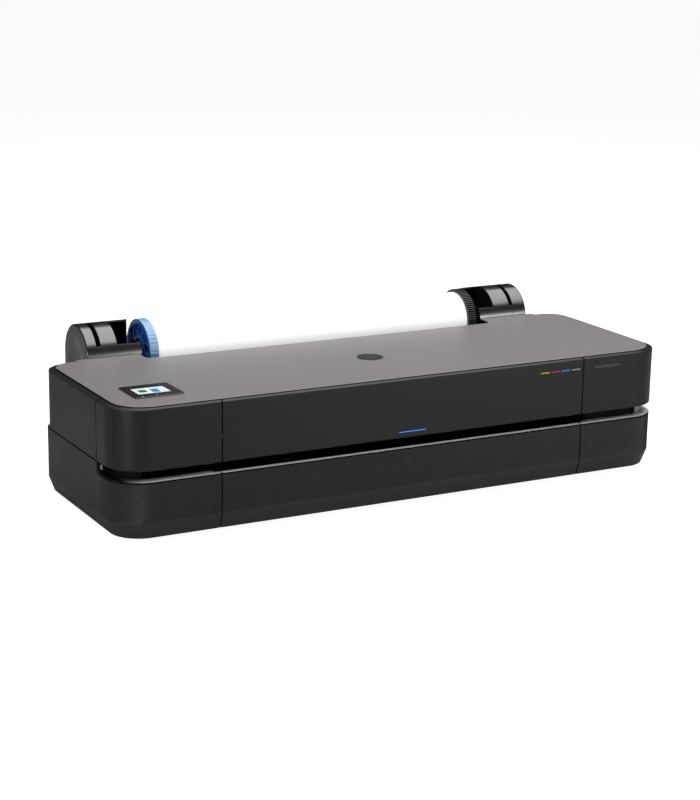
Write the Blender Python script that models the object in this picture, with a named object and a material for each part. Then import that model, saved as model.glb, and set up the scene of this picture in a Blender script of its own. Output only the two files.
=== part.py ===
"""Large format plotter with a rear paper roll, as separate solids for Blender 4.5.

Metres, +Z up, +X to the right of the front, origin on the table under the middle of the footprint.
"""

import math

import bmesh
import bpy
from mathutils import Matrix, Vector

# Driving dimensions of the whole machine.
WIDTH = 1.013
DEPTH = 0.440
FOOT_HEIGHT = 0.0125
LOWER_HEIGHT = 0.0915
SLOT_HEIGHT = 0.017
UPPER_HEIGHT = 0.100
ROLL_WIDTH = 0.610
ROLL_RADIUS = 0.0475
ARCH_RADIUS = 0.054

# Shell: walls, joints between pieces and rounded corners.
WALL = 0.003
GAP = 0.0004
SEAM = 0.0008
FRONT_CORNER = 0.058
REAR_CORNER = 0.044
FRONT_RIM = 0.0055
SIDE_RIM = 0.010
RIM_DROP = 0.004
RIM_FLAT = 0.0005
RIM_LEDGE = 0.020
CHAMFER = 0.009
CHAMFER_HEIGHT = 0.0245
SLOT_END_RADIUS = 0.008

# The ledge in the paper slot: deep at the ends, shallow in the middle, walled at the corners.
LEDGE = 0.0195
MIDDLE_LEDGE = 0.010
LEDGE_STEP_X = 0.345
COLUMN_X = 0.457

# Heights and depths that several pieces share.
HALF = WIDTH / 2
FRONT = -DEPTH / 2
REAR = DEPTH / 2
FLOOR = FOOT_HEIGHT
LIP = FLOOR + LOWER_HEIGHT
UPPER = LIP + SLOT_HEIGHT
TOP = UPPER + UPPER_HEIGHT
SIDE_SPLIT = UPPER - GAP
BODY_REAR = REAR - 2 * ARCH_RADIUS - 0.002
LOWER_REAR = BODY_REAR + 0.010
BEHIND = LOWER_REAR + 0.0015
SEAM_X = 0.335
SEAM_Y = FRONT + 0.088
NOTCH_Y = 0.072
EAR_X = 0.4475
SIDE_END_Y = 0.05
LOW_RIM_Y = BODY_REAR - 0.026
LOW_RIM_TOP = TOP - 0.0021
PANEL_LOW = TOP - 0.003
LEDGE_TOP = PANEL_LOW - GAP

# Grey top panel: room round it, and its corners.
PANEL_SIDE = HALF - SIDE_RIM - 0.0015
PANEL_FRONT = FRONT + FRONT_RIM + 0.001
PANEL_BACK = BODY_REAR - SIDE_RIM - 0.001
PANEL_EAR = BODY_REAR - 0.0015
PANEL_FRONT_CORNER = 0.050
PANEL_REAR_CORNER = 0.032
EAR_CORNER = 0.002
NOTCH_OUTER_CORNER = 0.003
NOTCH_INNER_CORNER = 0.012
PANEL_ROOM = 0.0006
SWING_ROOM = 0.0016

# Axes of motion, as (y, z) for an axis along X.
ROLL_AXIS = (REAR - ARCH_RADIUS, TOP - 0.008)
LID_AXIS = (0.103, TOP - 0.0065)
FEED_AXIS = (-0.008, 0.0965)
FEED_RADIUS = 0.010
PINCH_RADIUS = 0.006
OUTPUT_RADIUS = 0.008
PAPER_PATH = FEED_AXIS[1] + FEED_RADIUS
PINCH_AXIS = (FEED_AXIS[0], PAPER_PATH + GAP + PINCH_RADIUS)
OUTPUT_AXIS = (-0.136, PAPER_PATH - OUTPUT_RADIUS)
GUIDE_AXIS = (-0.012, 0.150)
GUIDE_RADIUS = 0.005
FEED_JOURNAL = 0.0055
PINCH_JOURNAL = 0.0030
OUTPUT_JOURNAL = 0.0040
BORE_ROOM = 0.0005
SHORT_ROLLER_HALF = 0.318
FEED_ROLLER_HALF = 0.320
FEED_END = 0.4735
PINCH_END = 0.340
OUTPUT_END = 0.332
GUIDE_END = 0.476

# Chassis: side plates, beam, and the hinge posts and pins of the lid.
PLATE_X = (0.472, 0.474)
BEAM_X = 0.4715
BEAM_Y = (0.031, 0.058)
BEAM_Z = (0.140, 0.200)
BEAM_SHEET = 0.002
BEAM_NOTCH_X = 0.4
MOTOR_BORE = 0.006
PLATE_FRONT = -0.150
PLATE_BACK = 0.062
PLATE_BEND_Y = -0.040
PLATE_LOW = 0.033
PLATE_BEND_Z = 0.126
PLATE_TOP = 0.200
PLATE_CORNER = 0.010
HINGE_POST_X = (0.3945, 0.4055)
HINGE_EAR_X = (0.388, 0.406)
HINGE_PIN_X = (0.390, 0.410)
HINGE_ARM_Z = (0.160, 0.166)
HINGE_WEB = 0.0025
EYE_RADIUS = 0.003
EYE_BORE = 0.0018
PIN_RADIUS = 0.0014
EAR_WIDTH = 0.006

# Paper path: platen, output guide, cutter rail and pinch roller frame.
PATH_X = 0.330
PLATEN_Y = (-0.124, -0.022)
PLATEN_LOW = 0.099
PLATEN_RIBS = 12
PLATEN_RIB_PITCH = 0.056
PLATEN_RIB_HALF = 0.002
PLATEN_RIB_INSET = 0.004
GUIDE_X = 0.333
GUIDE_Y = (-0.2085, -0.147)
GUIDE_Z = (0.0975, 0.1005)
GUIDE_LIP_TOP = 0.1045
LUG_X = (0.322, 0.3325)
LUG_Y = (-0.149, -0.129)
LUG_Z = (0.0920, 0.1040)
RAIL_X = (-0.350, 0.4705)
RAIL_Y = (-0.1225, -0.1135)
RAIL_Z = (0.1290, 0.1350)
PINCH_FRAME_X = 0.340
PINCH_FRAME_Y = (-0.004, 0.0290)
PINCH_FRAME_Z = (0.1215, 0.1500)

# Print carriage and its belt drive.
PARK_X = 0.395
CARRIAGE_WIDTH = 0.090
CARRIAGE_Y = (-0.105, -0.022)
CARRIAGE_LOW = 0.1110
CARRIAGE_FRONT_TOP = 0.165
CARRIAGE_BACK_TOP = 0.178
BEARING_HALF = 0.012
BEARING_INSET = 0.004
CLAMP_Y = (-0.030, 0.0235)
CLAMP_Z = (0.1610, 0.1775)
BELT_ROOM = 0.0007
HEAD_HALF = 0.030
HEAD_Y = (-0.095, -0.040)
HEAD_ROOM = 0.0015
BELT_Z = 0.180
BELT_Y = 0.018
BELT_HALF = 0.003
PULLEY_X = 0.450
PULLEY_RADIUS = 0.008
PULLEY_WIDTH = 0.007
BOSS_RADIUS = 0.0035
BOSS_LENGTH = 0.0115
BOSS_OFFSET = 0.0055
BELT_THICKNESS = 0.0012
MOTOR_RADIUS = 0.0165
MOTOR_LENGTH = 0.034
FEED_MOTOR_AXIS = (0.030, 0.075)
FEED_MOTOR_X = (-0.4700, -0.4250)
FEED_MOTOR_RADIUS = 0.018

# Paper cutter, parked at the right end of its rail.
CUTTER_AT = (0.352, -0.118, 0.1320)
CUTTER_HALF = (0.011, 0.0085)
CUTTER_Z = (0.1100, 0.1400)
RAIL_ROOM = 0.0006

# Status light, a thin bar low in the front fascia.
LIGHT_BAR_X = (-0.0225, 0.0285)
LIGHT_BAR_Z = (0.1305, 0.1318)

# Lid's inner frame: a plate with six openings.
LID_FRAME_X = 0.325
LID_FRAME_Y = (-0.198, 0.058)
LID_FRAME_DEPTH = 0.0050
LID_OPENINGS_X = ((-0.310, -0.112), (-0.098, 0.098), (0.112, 0.310))
LID_OPENINGS_Y = ((-0.184, -0.078), (-0.066, 0.044))

# Control panel on the top panel's left front corner.
BEZEL_X = (-HALF + 0.0515, -HALF + 0.1335)
BEZEL_Y = (FRONT + 0.0535, FRONT + 0.1265)
BEZEL_CORNER = 0.004
BEZEL_HEIGHT = 0.0018
SCREEN_X = (-HALF + 0.064, -HALF + 0.117)
SCREEN_Y = (FRONT + 0.072, FRONT + 0.105)
SCREEN_LOW = TOP + GAP + 0.0008
SCREEN_TOP = TOP + GAP + 0.0020

# Roll and hubs: the roll hangs a little right of the middle.
ROLL_LEFT = -0.2955
ROLL_RIGHT = ROLL_LEFT + ROLL_WIDTH
HUB_WIDTH = 0.017
HUB_RADIUS = 0.053
HUB_FLANGE = 0.010
HUB_FACE_RADIUS = 0.024
HUB_DISH = 0.004
PLUG_RADIUS = 0.0258
PLUG_LENGTH = 0.018
CORE_RADIUS = 0.028
BORE_RADIUS = 0.0262
SHAFT_RADIUS = 0.008
SHAFT_END_ROOM = 0.0015
BUSH_RADIUS = 0.011
BUSH_ROOM = (0.002, 0.003)

# The two arched supports (left -1, right 1), as distances from the middle. The space between
# the inner wall and the ring holds the bush; the slot is beside the cap of the outer cheek.
ARCH_INNER = {-1: 0.328, 1: 0.3385}
ARCH_RING = 0.370
ARCH_SLOT = {-1: 0.3985, 1: 0.4035}
ARCH_CAP = {-1: 0.4070, 1: 0.4115}
ARCH_OUTER = {-1: 0.4245, 1: 0.4385}
OPENING_RISE = ARCH_RADIUS * math.sin(math.radians(27))
OPENING_BACK = 0.004
LIFT_ROOM = 0.013
SEAT_HALF = 0.020
SEAT_RISE = 0.002
DISH_RADIUS = 0.026
DISH_LENGTH = 0.045
DISH_DEPTH = 0.003
CHEEK_WALL = 0.006
CHEEK_HOLLOW_Y = (LOWER_REAR + 0.006, REAR - 0.004)
CHEEK_HOLLOW_Z = (0.02, 0.16)
CHEEK_INSIDE_X = 0.3

# Rear housing: trough for the roll, and windows for the connectors.
HOUSING_TOP = 0.175
HOUSING_STEP = 0.124
HOUSING_LOW = FLOOR + 0.0005
HOUSING_STEP_Y = REAR - 2 * ARCH_RADIUS
HOUSING_CORNER = 0.010
HOUSING_EDGE = 0.004
TROUGH_ROOM = 0.006
HOLLOW_Z = (FLOOR + 0.004, 0.121)
HOLLOW_REAR_Z = (FLOOR + 0.03, 0.146)
INLET_WINDOW = ((-0.348, -0.318), (0.046, 0.070))
PORT_WINDOW = ((-0.290, -0.200), (0.046, 0.066))
WINDOW_ROOM = 0.0005
INLET_DEPTH = 0.022
INLET_WELL_DEPTH = 0.014
INLET_PIN_Y = (REAR - 0.016, REAR - 0.004)
PORT_DEPTH = 0.018
PORT_WELL_DEPTH = 0.012
INLET_WELL = ((-0.344, -0.322), (0.050, 0.066))
INLET_PINS_X = (-0.339, -0.333, -0.327)
INLET_PIN_Z = (0.056, 0.060)
PORT_WELLS = (((-0.284, -0.268), (0.050, 0.062)), ((-0.250, -0.237), (0.052, 0.060)))

# Wall behind the print zone.
REAR_COVER_TOP = 0.206
NOTCH_WALL_Z = (0.150, 0.214)

# Electronics: board, its tall components as (x, width, height), and power supply.
BOARD_X = (-0.300, -0.120)
BOARD_Y = (0.185, 0.1866)
BOARD_Z = (0.030, 0.112)
COMPONENTS = ((-0.26, 0.030, 0.028), (-0.20, 0.022, 0.022), (-0.155, 0.018, 0.034))
COMPONENT_Y = (0.180, 0.186)
COMPONENT_Z = 0.072
SUPPLY = ((0.100, 0.300), (0.145, 0.205), (0.0190, 0.060))

# Base tray with its stiffening ribs, and the feet.
TRAY_ROOM = 0.001
TRAY_Z = (FLOOR + 0.0005, FLOOR + 0.0045)
TRAY_CORNERS = (0.045, 0.030)
LONG_RIBS_X = (-0.46, -0.23, 0.0, 0.23, 0.46)
CROSS_RIBS_Y = (-0.17, 0.06)
CROSS_RIB_X = (-0.47, 0.47)
RIB_HALF = 0.0015
RIB_LOW = FLOOR + 0.003
LONG_RIB_TOP = 0.032
CROSS_RIB_TOP = 0.030
FOOT_RADIUS = 0.011
FEET = {
    "front_left_foot": (-0.40, -0.150),
    "front_right_foot": (0.40, -0.150),
    "rear_left_foot": (-0.37, 0.190),
    "rear_right_foot": (0.37, 0.190),
}

# Ink supply: four cartridges side by side.
CARTRIDGES = ("black", "yellow", "magenta", "cyan")
CARTRIDGE_PITCH = 0.023
CARTRIDGE_WIDTH = 0.019
CARTRIDGE_ROOM = 0.0006
CARTRIDGE_Z = (0.071, 0.195)
CARTRIDGE_MIDDLE_Z = 0.132
CARTRIDGE_CORNERS = (0.010, 0.003)
GRIP_Z = (0.178, 0.183)
GRIP_FROM_BACK = (0.016, 0.006)
INK_X = 0.405
INK_Y = (-0.200, -0.128)
INK_Z = (0.035, 0.150)
INK_WALL = 0.003
INK_END_WALL = 0.004
INK_WELL_LOW = 0.066

# Service station under the parked carriage, as nested blocks: case, well, cap and cap well.
STATION = ((0.350, 0.446), (-0.105, -0.026), (0.035, 0.104))
STATION_WELL = ((0.360, 0.436), (-0.098, -0.036), (0.095, 0.2))
STATION_CAP = ((0.372, 0.418), (-0.092, -0.044), (0.090, 0.1062))
CAP_WELL = ((0.376, 0.414), (-0.088, -0.048), (0.1035, 0.2))

PLANES = {
    "XY": Matrix.Identity(3),
    "YZ": Matrix(((0, 0, 1), (1, 0, 0), (0, 1, 0))),
    "XZ": Matrix(((1, 0, 0), (0, 0, -1), (0, 1, 0))),
}
AXIS_PLANE = {"X": "YZ", "Y": "XZ", "Z": "XY"}

# Reach of a cutter beyond everything, how far one passes a face, and the overlap of a join.
LONG = 1.2
THROUGH = (-LONG, LONG)
UPWARD = (0, LONG)
OVERCUT = 0.01
BITE = 0.001


def clear_scene():
    for obj in list(bpy.data.objects):
        bpy.data.objects.remove(obj, do_unlink=True)


def collection(name):
    made = bpy.data.collections.new(name)
    bpy.context.scene.collection.children.link(made)
    return made


clear_scene()
PARTS = collection("large_format_plotter")
CUTTERS = collection("cutters")
MATERIALS = {}
BODIES = {}


def material(name, colour, roughness, metallic=0.0):
    made = bpy.data.materials.new(name)
    made.use_nodes = True
    shader = made.node_tree.nodes["Principled BSDF"]
    shader.inputs["Base Color"].default_value = (*colour, 1)
    shader.inputs["Roughness"].default_value = roughness
    shader.inputs["Metallic"].default_value = metallic
    made.diffuse_color = (*colour, 1)
    MATERIALS[name] = made


def make_materials():
    material("black_textured", (0.026, 0.026, 0.027), 0.55)
    material("black_satin", (0.022, 0.022, 0.023), 0.42)
    material("black_gloss", (0.010, 0.010, 0.011), 0.16)
    material("grey_panel", (0.250, 0.238, 0.234), 0.45)
    material("display", (0.75, 0.80, 0.82), 0.20)
    material("light_bar", (0.10, 0.30, 0.80), 0.30)
    material("blue_plastic", (0.060, 0.270, 0.720), 0.35)
    material("white_paper", (0.93, 0.93, 0.93), 0.80)
    material("brown_card", (0.42, 0.29, 0.17), 0.85)
    material("zinc_steel", (0.55, 0.56, 0.58), 0.35, 1.0)
    material("bright_steel", (0.75, 0.75, 0.76), 0.15, 1.0)
    material("grey_rubber", (0.10, 0.10, 0.10), 0.80)
    material("black_rubber", (0.015, 0.015, 0.015), 0.85)
    material("circuit_board", (0.02, 0.16, 0.07), 0.50)
    material("ink_grey", (0.16, 0.16, 0.17), 0.45)
    material("mid_plastic", (0.09, 0.09, 0.10), 0.50)


def body(name, location):
    """An empty on the joint's axis that carries the pieces moving with it."""
    empty = bpy.data.objects.new(name, None)
    empty.location = location
    PARTS.objects.link(empty)
    BODIES[name] = empty


def helper(mesh, location=(0, 0, 0)):
    """A shape that is not yet a piece: it is hidden until publish() takes it."""
    mesh.shade_smooth()
    mesh.set_sharp_from_angle(angle=math.radians(30))
    obj = bpy.data.objects.new("shape", mesh)
    obj.location = location
    obj.hide_render = True
    obj.display_type = "WIRE"
    CUTTERS.objects.link(obj)
    return obj


def publish(obj, name, slot, parent=None):
    """Makes a shape a named piece with its material, carried by its body's empty."""
    CUTTERS.objects.unlink(obj)
    PARTS.objects.link(obj)
    obj.name = name
    obj.data.name = name
    obj.hide_render = False
    obj.display_type = "TEXTURED"
    obj.data.materials.clear()
    obj.data.materials.append(MATERIALS[slot])
    if parent:
        obj.parent = BODIES[parent]
        obj.location -= BODIES[parent].location
    return obj


def boolean(obj, operation, others):
    for other in others:
        modifier = obj.modifiers.new(operation.lower(), "BOOLEAN")
        modifier.operation = operation
        modifier.solver = "EXACT"
        modifier.object = other
    return obj


def cut(obj, *others):
    return boolean(obj, "DIFFERENCE", others)


def join(obj, *others):
    return boolean(obj, "UNION", others)


def keep(obj, *others):
    return boolean(obj, "INTERSECT", others)


def mesh_from(bm):
    mesh = bpy.data.meshes.new("shape")
    bm.to_mesh(mesh)
    bm.free()
    return mesh


def around(middle, half):
    """Limits the same distance on both sides of a middle."""
    return (middle - half, middle + half)


def sided(side, near, far):
    """Limits in X on one side of the middle, lowest first."""
    return tuple(sorted((side * near, side * far)))


def block(x, y, z):
    """A box between two limits on each axis, with its origin in its middle."""
    limits = (x, y, z)
    bm = bmesh.new()
    bmesh.ops.create_cube(bm, size=1)
    bmesh.ops.scale(bm, vec=[abs(b - a) for a, b in limits], verts=bm.verts)
    return helper(mesh_from(bm), [(a + b) / 2 for a, b in limits])


def rod(axis, centre, radius, length, sides=32):
    """A round bar about its own middle, along one axis."""
    bm = bmesh.new()
    bmesh.ops.create_cone(
        bm, cap_ends=True, segments=sides, radius1=radius, radius2=radius, depth=length
    )
    bmesh.ops.rotate(bm, matrix=PLANES[AXIS_PLANE[axis]], verts=bm.verts)
    return helper(mesh_from(bm), centre)


def x_rod(axis_yz, x, radius, sides=32):
    """A round bar along X between two limits, about a (y, z) axis."""
    return rod("X", ((x[0] + x[1]) / 2, *axis_yz), radius, abs(x[1] - x[0]), sides)


def rounded(corners, steps=8):
    """Points of a closed outline from corners (a, b, radius), each round one as an arc."""
    points = []
    count = len(corners)
    for index, (a, b, radius) in enumerate(corners):
        corner = Vector((a, b))
        if radius == 0:
            points.append(corner)
            continue
        before = (Vector(corners[index - 1][:2]) - corner).normalized()
        after = (Vector(corners[(index + 1) % count][:2]) - corner).normalized()
        half_angle = before.angle(after) / 2
        reach = radius / math.tan(half_angle)
        centre = corner + (before + after).normalized() * radius / math.sin(half_angle)
        first = corner + before * reach - centre
        last = corner + after * reach - centre
        turn = first.angle_signed(last)
        for step in range(steps + 1):
            arm = first.copy()
            arm.rotate(Matrix.Rotation(-turn * step / steps, 2))
            points.append(centre + arm)
    return points


def outline_solid(points, low, high, plane="XY"):
    """A flat closed outline in a plane, filled and extruded between two levels across it."""
    curve = bpy.data.curves.new("outline", "CURVE")
    curve.dimensions = "2D"
    curve.fill_mode = "BOTH"
    curve.extrude = (high - low) / 2
    spline = curve.splines.new("POLY")
    spline.points.add(len(points) - 1)
    for target, (a, b) in zip(spline.points, points):
        target.co = (a, b, 0, 1)
    spline.use_cyclic_u = True
    drawn = bpy.data.objects.new("outline", curve)
    CUTTERS.objects.link(drawn)
    graph = bpy.context.evaluated_depsgraph_get()
    mesh = bpy.data.meshes.new_from_object(drawn.evaluated_get(graph))
    bpy.data.objects.remove(drawn, do_unlink=True)
    bm = bmesh.new()
    bm.from_mesh(mesh)
    bmesh.ops.remove_doubles(bm, verts=bm.verts, dist=1e-6)
    level = (low + high) / 2
    turn = PLANES[plane]
    middle = Vector((0, 0, -level if plane == "XZ" else level))
    bmesh.ops.translate(bm, vec=middle, verts=bm.verts)
    bmesh.ops.rotate(bm, matrix=turn, verts=bm.verts)
    bmesh.ops.recalc_face_normals(bm, faces=bm.faces)
    bpy.data.meshes.remove(mesh)
    return helper(mesh_from(bm))


def centre_origin(obj, origin):
    """Moves an object's origin without moving its shape."""
    offset = Vector(origin) - obj.location
    obj.data.transform(Matrix.Translation(-offset))
    obj.location = origin
    return obj


def plan(rear, inset=0.0, steps=14):
    """The machine's outline from above, pulled in by an inset."""
    side = HALF - inset
    front = FRONT + inset
    back = rear - inset
    return rounded(
        (
            (-side, front, FRONT_CORNER - inset),
            (side, front, FRONT_CORNER - inset),
            (side, back, REAR_CORNER - inset),
            (-side, back, REAR_CORNER - inset),
        ),
        steps,
    )


def sloped_end(obj, upward, front_inset, side_inset, reach, side):
    """Extends an end of an upright solid by a sloping band, wider at the sides than at the front."""
    bm = bmesh.new()
    bm.from_mesh(obj.data)
    bm.normal_update()
    sign = 1 if upward else -1
    ends = [face for face in bm.faces if face.normal.z * sign > 0.99]
    bmesh.ops.inset_region(bm, faces=ends, thickness=front_inset, depth=reach, use_even_offset=True)
    verts = list({vert for face in ends for vert in face.verts})
    stretch = (side - side_inset) / (side - front_inset)
    bmesh.ops.scale(bm, vec=(stretch, 1, 1), verts=verts)
    bm.to_mesh(obj.data)
    bm.free()
    return obj


def lower_solid(inset, high, below=0.0):
    """The lower half as a solid, with the sloping band round its bottom, carried on below it."""
    solid = outline_solid(plan(LOWER_REAR, inset), FLOOR + CHAMFER_HEIGHT, high)
    more = 1 + below / CHAMFER_HEIGHT
    slope = CHAMFER * more
    return sloped_end(solid, False, slope, slope, CHAMFER_HEIGHT * more, HALF - inset)


def upper_solid():
    """The upper half as a solid, with the sloping rim round its top."""
    solid = outline_solid(plan(BODY_REAR), UPPER, TOP - RIM_DROP)
    return sloped_end(solid, True, FRONT_RIM, SIDE_RIM, RIM_DROP - RIM_FLAT, HALF)


def panel_outline(grow=0.0):
    """The grey top panel's outline, notched at the back for the roll."""
    side = PANEL_SIDE + grow
    back = PANEL_BACK + grow
    ear = PANEL_EAR + grow
    right = (
        (side, PANEL_FRONT - grow, PANEL_FRONT_CORNER),
        (side, back, PANEL_REAR_CORNER),
        (EAR_X + grow, back, 0),
        (EAR_X + grow, ear, EAR_CORNER),
        (SEAM_X - grow, ear, NOTCH_OUTER_CORNER),
        (SEAM_X - grow, NOTCH_Y + grow, NOTCH_INNER_CORNER),
    )
    left = tuple((-x, y, radius) for x, y, radius in reversed(right))
    return rounded(right + left, 10)


def slot_cutter():
    """The paper slot round the front, with a round end on each side."""
    front = FRONT - OVERCUT
    top = UPPER + OVERCUT
    corners = (
        (front, LIP, 0),
        (SEAM_Y, LIP, SLOT_END_RADIUS),
        (SEAM_Y, top, 0),
        (front, top, 0),
    )
    return outline_solid(rounded(corners), *THROUGH, "YZ")


def corner_column():
    """The wall at the back of the slot round each front corner, standing on the ledge."""
    low, high = LIP - WALL / 2, SIDE_SPLIT - GAP
    wall = outline_solid(plan(LOWER_REAR, LEDGE - WALL), low, high)
    cut(wall, outline_solid(plan(LOWER_REAR, LEDGE), low - OVERCUT, high + OVERCUT))
    cut(wall, block((-COLUMN_X, COLUMN_X), THROUGH, UPWARD))
    return cut(wall, block(THROUGH, (SEAM_Y + WALL, LONG), UPWARD))


def lower_piece(x, y):
    """The part of the lower half's shell inside limits in X and Y."""
    shell = lower_solid(0, SIDE_SPLIT - GAP)
    cut(shell, lower_solid(WALL, LIP - WALL, BITE))
    above = (FLOOR + LOWER_HEIGHT / 2, LONG)
    cut(shell, outline_solid(plan(LOWER_REAR, LEDGE), *above))
    cut(shell, block((-LEDGE_STEP_X, LEDGE_STEP_X), (FRONT + MIDDLE_LEDGE, 0), above))
    cut(shell, slot_cutter())
    if max(abs(limit) for limit in x) > COLUMN_X:
        join(shell, corner_column())
    return keep(shell, block(x, y, THROUGH))


def make_lower_half():
    inside = SEAM_X - SEAM / 2
    outside = SEAM_X + SEAM / 2
    publish(lower_piece((-inside, inside), (-LONG, 0)), "lower_front_panel", "black_textured")
    publish(lower_piece((-LONG, -outside), THROUGH), "lower_left_cover", "black_textured")
    publish(lower_piece((outside, LONG), THROUGH), "lower_right_cover", "black_textured")


def upper_piece(x, y):
    """The part of the upper half's shell inside limits in X and Y, with a ledge for the lid."""
    shell = upper_solid()
    cut(shell, outline_solid(plan(BODY_REAR, WALL), 0, LEDGE_TOP - WALL))
    cut(shell, outline_solid(plan(BODY_REAR, RIM_LEDGE), *UPWARD))
    cut(shell, outline_solid(panel_outline(PANEL_ROOM), LEDGE_TOP, LONG))
    cut(shell, block((-EAR_X, EAR_X), (SIDE_END_Y, LONG), UPWARD))
    swing = outline_solid(panel_outline(SWING_ROOM), LEDGE_TOP, LONG)
    cut(shell, keep(swing, block(THROUGH, (LOW_RIM_Y, LONG), UPWARD)))
    cut(shell, block(THROUGH, (LOW_RIM_Y, LONG), (LOW_RIM_TOP, LONG)))
    return keep(shell, block(x, y, THROUGH))


def make_upper_half():
    outside = SEAM_X + SEAM / 2
    corner = (-LONG, SEAM_Y - SEAM / 2)
    rest = (SEAM_Y + SEAM / 2, LONG)
    publish(upper_piece((-LONG, -outside), corner), "left_corner_fascia", "black_satin")
    publish(upper_piece((outside, LONG), corner), "right_corner_fascia", "black_satin")
    publish(upper_piece((-LONG, -SEAM_X), rest), "left_side_panel", "black_satin")
    publish(upper_piece((SEAM_X, LONG), rest), "right_side_panel", "black_satin")


def make_base():
    front = FRONT + CHAMFER + WALL + TRAY_ROOM
    side = HALF - CHAMFER - WALL - TRAY_ROOM
    back = LOWER_REAR - CHAMFER - WALL - TRAY_ROOM
    near, far = TRAY_CORNERS
    corners = ((-side, front, near), (side, front, near), (side, back, far), (-side, back, far))
    tray = outline_solid(rounded(corners), *TRAY_Z)
    rib_y = (front + 2 * OVERCUT, back - OVERCUT)
    for x in LONG_RIBS_X:
        join(tray, block(around(x, RIB_HALF), rib_y, (RIB_LOW, LONG_RIB_TOP)))
    for y in CROSS_RIBS_Y:
        join(tray, block(CROSS_RIB_X, around(y, RIB_HALF), (RIB_LOW, CROSS_RIB_TOP)))
    publish(tray, "base_tray", "mid_plastic")
    for name, (x, y) in FEET.items():
        foot = rod("Z", (x, y, FOOT_HEIGHT / 2), FOOT_RADIUS, FOOT_HEIGHT, 24)
        publish(foot, name, "black_rubber")


def make_rear_cover():
    """The wall behind the print zone, stepped forward where the roll hangs."""
    cover = block(around(0, EAR_X - SEAM), (NOTCH_Y, BODY_REAR), (UPPER, REAR_COVER_TOP))
    cut(cover, block(around(0, SEAM_X), (NOTCH_Y + WALL, LONG), UPWARD))
    for side in (-1, 1):
        hollow = (side * (SEAM_X + WALL), side * LONG)
        cut(cover, block(hollow, (0, BODY_REAR - WALL), UPWARD))
    join(cover, block(around(0, SEAM_X - OVERCUT), (NOTCH_Y, NOTCH_Y + WALL), NOTCH_WALL_Z))
    publish(cover, "rear_cover", "black_satin")


def arch_outline(radius, bottom, steps=24):
    """An upright arch about the roll's axis, with straight legs down to a level."""
    y, z = ROLL_AXIS
    points = [Vector((y + radius, bottom))]
    for step in range(steps + 1):
        angle = math.pi * step / steps
        points.append(Vector((y + radius * math.cos(angle), z + radius * math.sin(angle))))
    points.append(Vector((y - radius, bottom)))
    return points


def make_roll_support(side, word):
    """One arched support: a hollow shell with a slot, and an open seat for the spindle's bush."""
    y, z = ROLL_AXIS
    low = HOUSING_TOP + GAP
    inner = ARCH_INNER[side]
    shell = outline_solid(
        arch_outline(ARCH_RADIUS, low), *sided(side, inner, ARCH_CAP[side] - GAP), "YZ"
    )
    hollow = arch_outline(ARCH_RADIUS - WALL, low - OVERCUT)
    cut(shell, outline_solid(hollow, *sided(side, ARCH_RING + WALL, LONG), "YZ"))
    cut(shell, outline_solid(hollow, *sided(side, inner + WALL, ARCH_RING), "YZ"))
    seat_x = sided(side, inner + BITE, ARCH_RING + BITE)
    join(shell, block(seat_x, around(y, SEAT_HALF), (low + BITE, z + SEAT_RISE)))
    open_z = (z + OPENING_RISE, LONG)
    slot = sided(side, ARCH_SLOT[side], ARCH_CAP[side] + OVERCUT)
    cut(shell, block(slot, (0, y + OPENING_BACK), open_z))
    opening = sided(side, inner - OVERCUT, ARCH_RING)
    cut(shell, block(opening, (0, y + LIFT_ROOM), open_z))
    channel = BUSH_RADIUS + GAP
    cut(shell, block(opening, around(y, channel), (z, LONG)))
    cut(shell, x_rod(ROLL_AXIS, opening, channel, 40))
    origin = (side * ARCH_RING, y, z)
    publish(centre_origin(shell, origin), f"{word}_roll_support", "black_gloss")


def make_end_cap(side, word):
    """The support's outer cheek, down to the foot of the housing, with a shallow dish."""
    y, z = ROLL_AXIS
    outer = ARCH_OUTER[side]
    outline = arch_outline(ARCH_RADIUS, HOUSING_LOW)
    cheek = outline_solid(outline, *sided(side, ARCH_CAP[side], outer), "YZ")
    low_front = block(sided(side, CHEEK_INSIDE_X, LONG), (0, BEHIND), (0, HOUSING_STEP))
    dish = outline_solid(
        arch_outline(DISH_RADIUS, z - DISH_LENGTH, 16), *sided(side, outer - DISH_DEPTH, LONG), "YZ"
    )
    hollow_x = sided(side, CHEEK_INSIDE_X, outer - CHEEK_WALL)
    cut(cheek, low_front, dish, block(hollow_x, CHEEK_HOLLOW_Y, CHEEK_HOLLOW_Z))
    origin = (side * ARCH_CAP[side], y, z)
    publish(centre_origin(cheek, origin), f"{word}_end_cheek", "black_gloss")


def make_roll_housing():
    """The rear housing under the roll: trough above, electronics space inside."""
    corners = (
        (BEHIND, HOUSING_LOW, 0),
        (REAR, HOUSING_LOW, HOUSING_CORNER),
        (REAR, HOUSING_TOP, HOUSING_EDGE),
        (HOUSING_STEP_Y, HOUSING_TOP, HOUSING_EDGE),
        (HOUSING_STEP_Y, HOUSING_STEP, 0),
        (BEHIND, HOUSING_STEP, 0),
    )
    ends = (GAP - ARCH_CAP[-1], ARCH_CAP[1] - GAP)
    housing = outline_solid(rounded(corners), *ends, "YZ")
    trough = (-ARCH_INNER[-1], ARCH_INNER[1])
    cut(housing, x_rod(ROLL_AXIS, trough, HUB_RADIUS + TROUGH_ROOM, 64))
    inside = (ends[0] + WALL, ends[1] - WALL)
    back = REAR - WALL
    cut(housing, block(inside, (0, back), HOLLOW_Z))
    cut(housing, block(inside, (HOUSING_STEP_Y + WALL, back), HOLLOW_REAR_Z))
    for x, z in (INLET_WINDOW, PORT_WINDOW):
        cut(housing, block(x, UPWARD, z))
    publish(housing, "roll_housing", "black_textured")


def fitted(window):
    """A window's limits in X and Z, less the room round the piece that fills it."""
    return [(low + WINDOW_ROOM, high - WINDOW_ROOM) for low, high in window]


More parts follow.
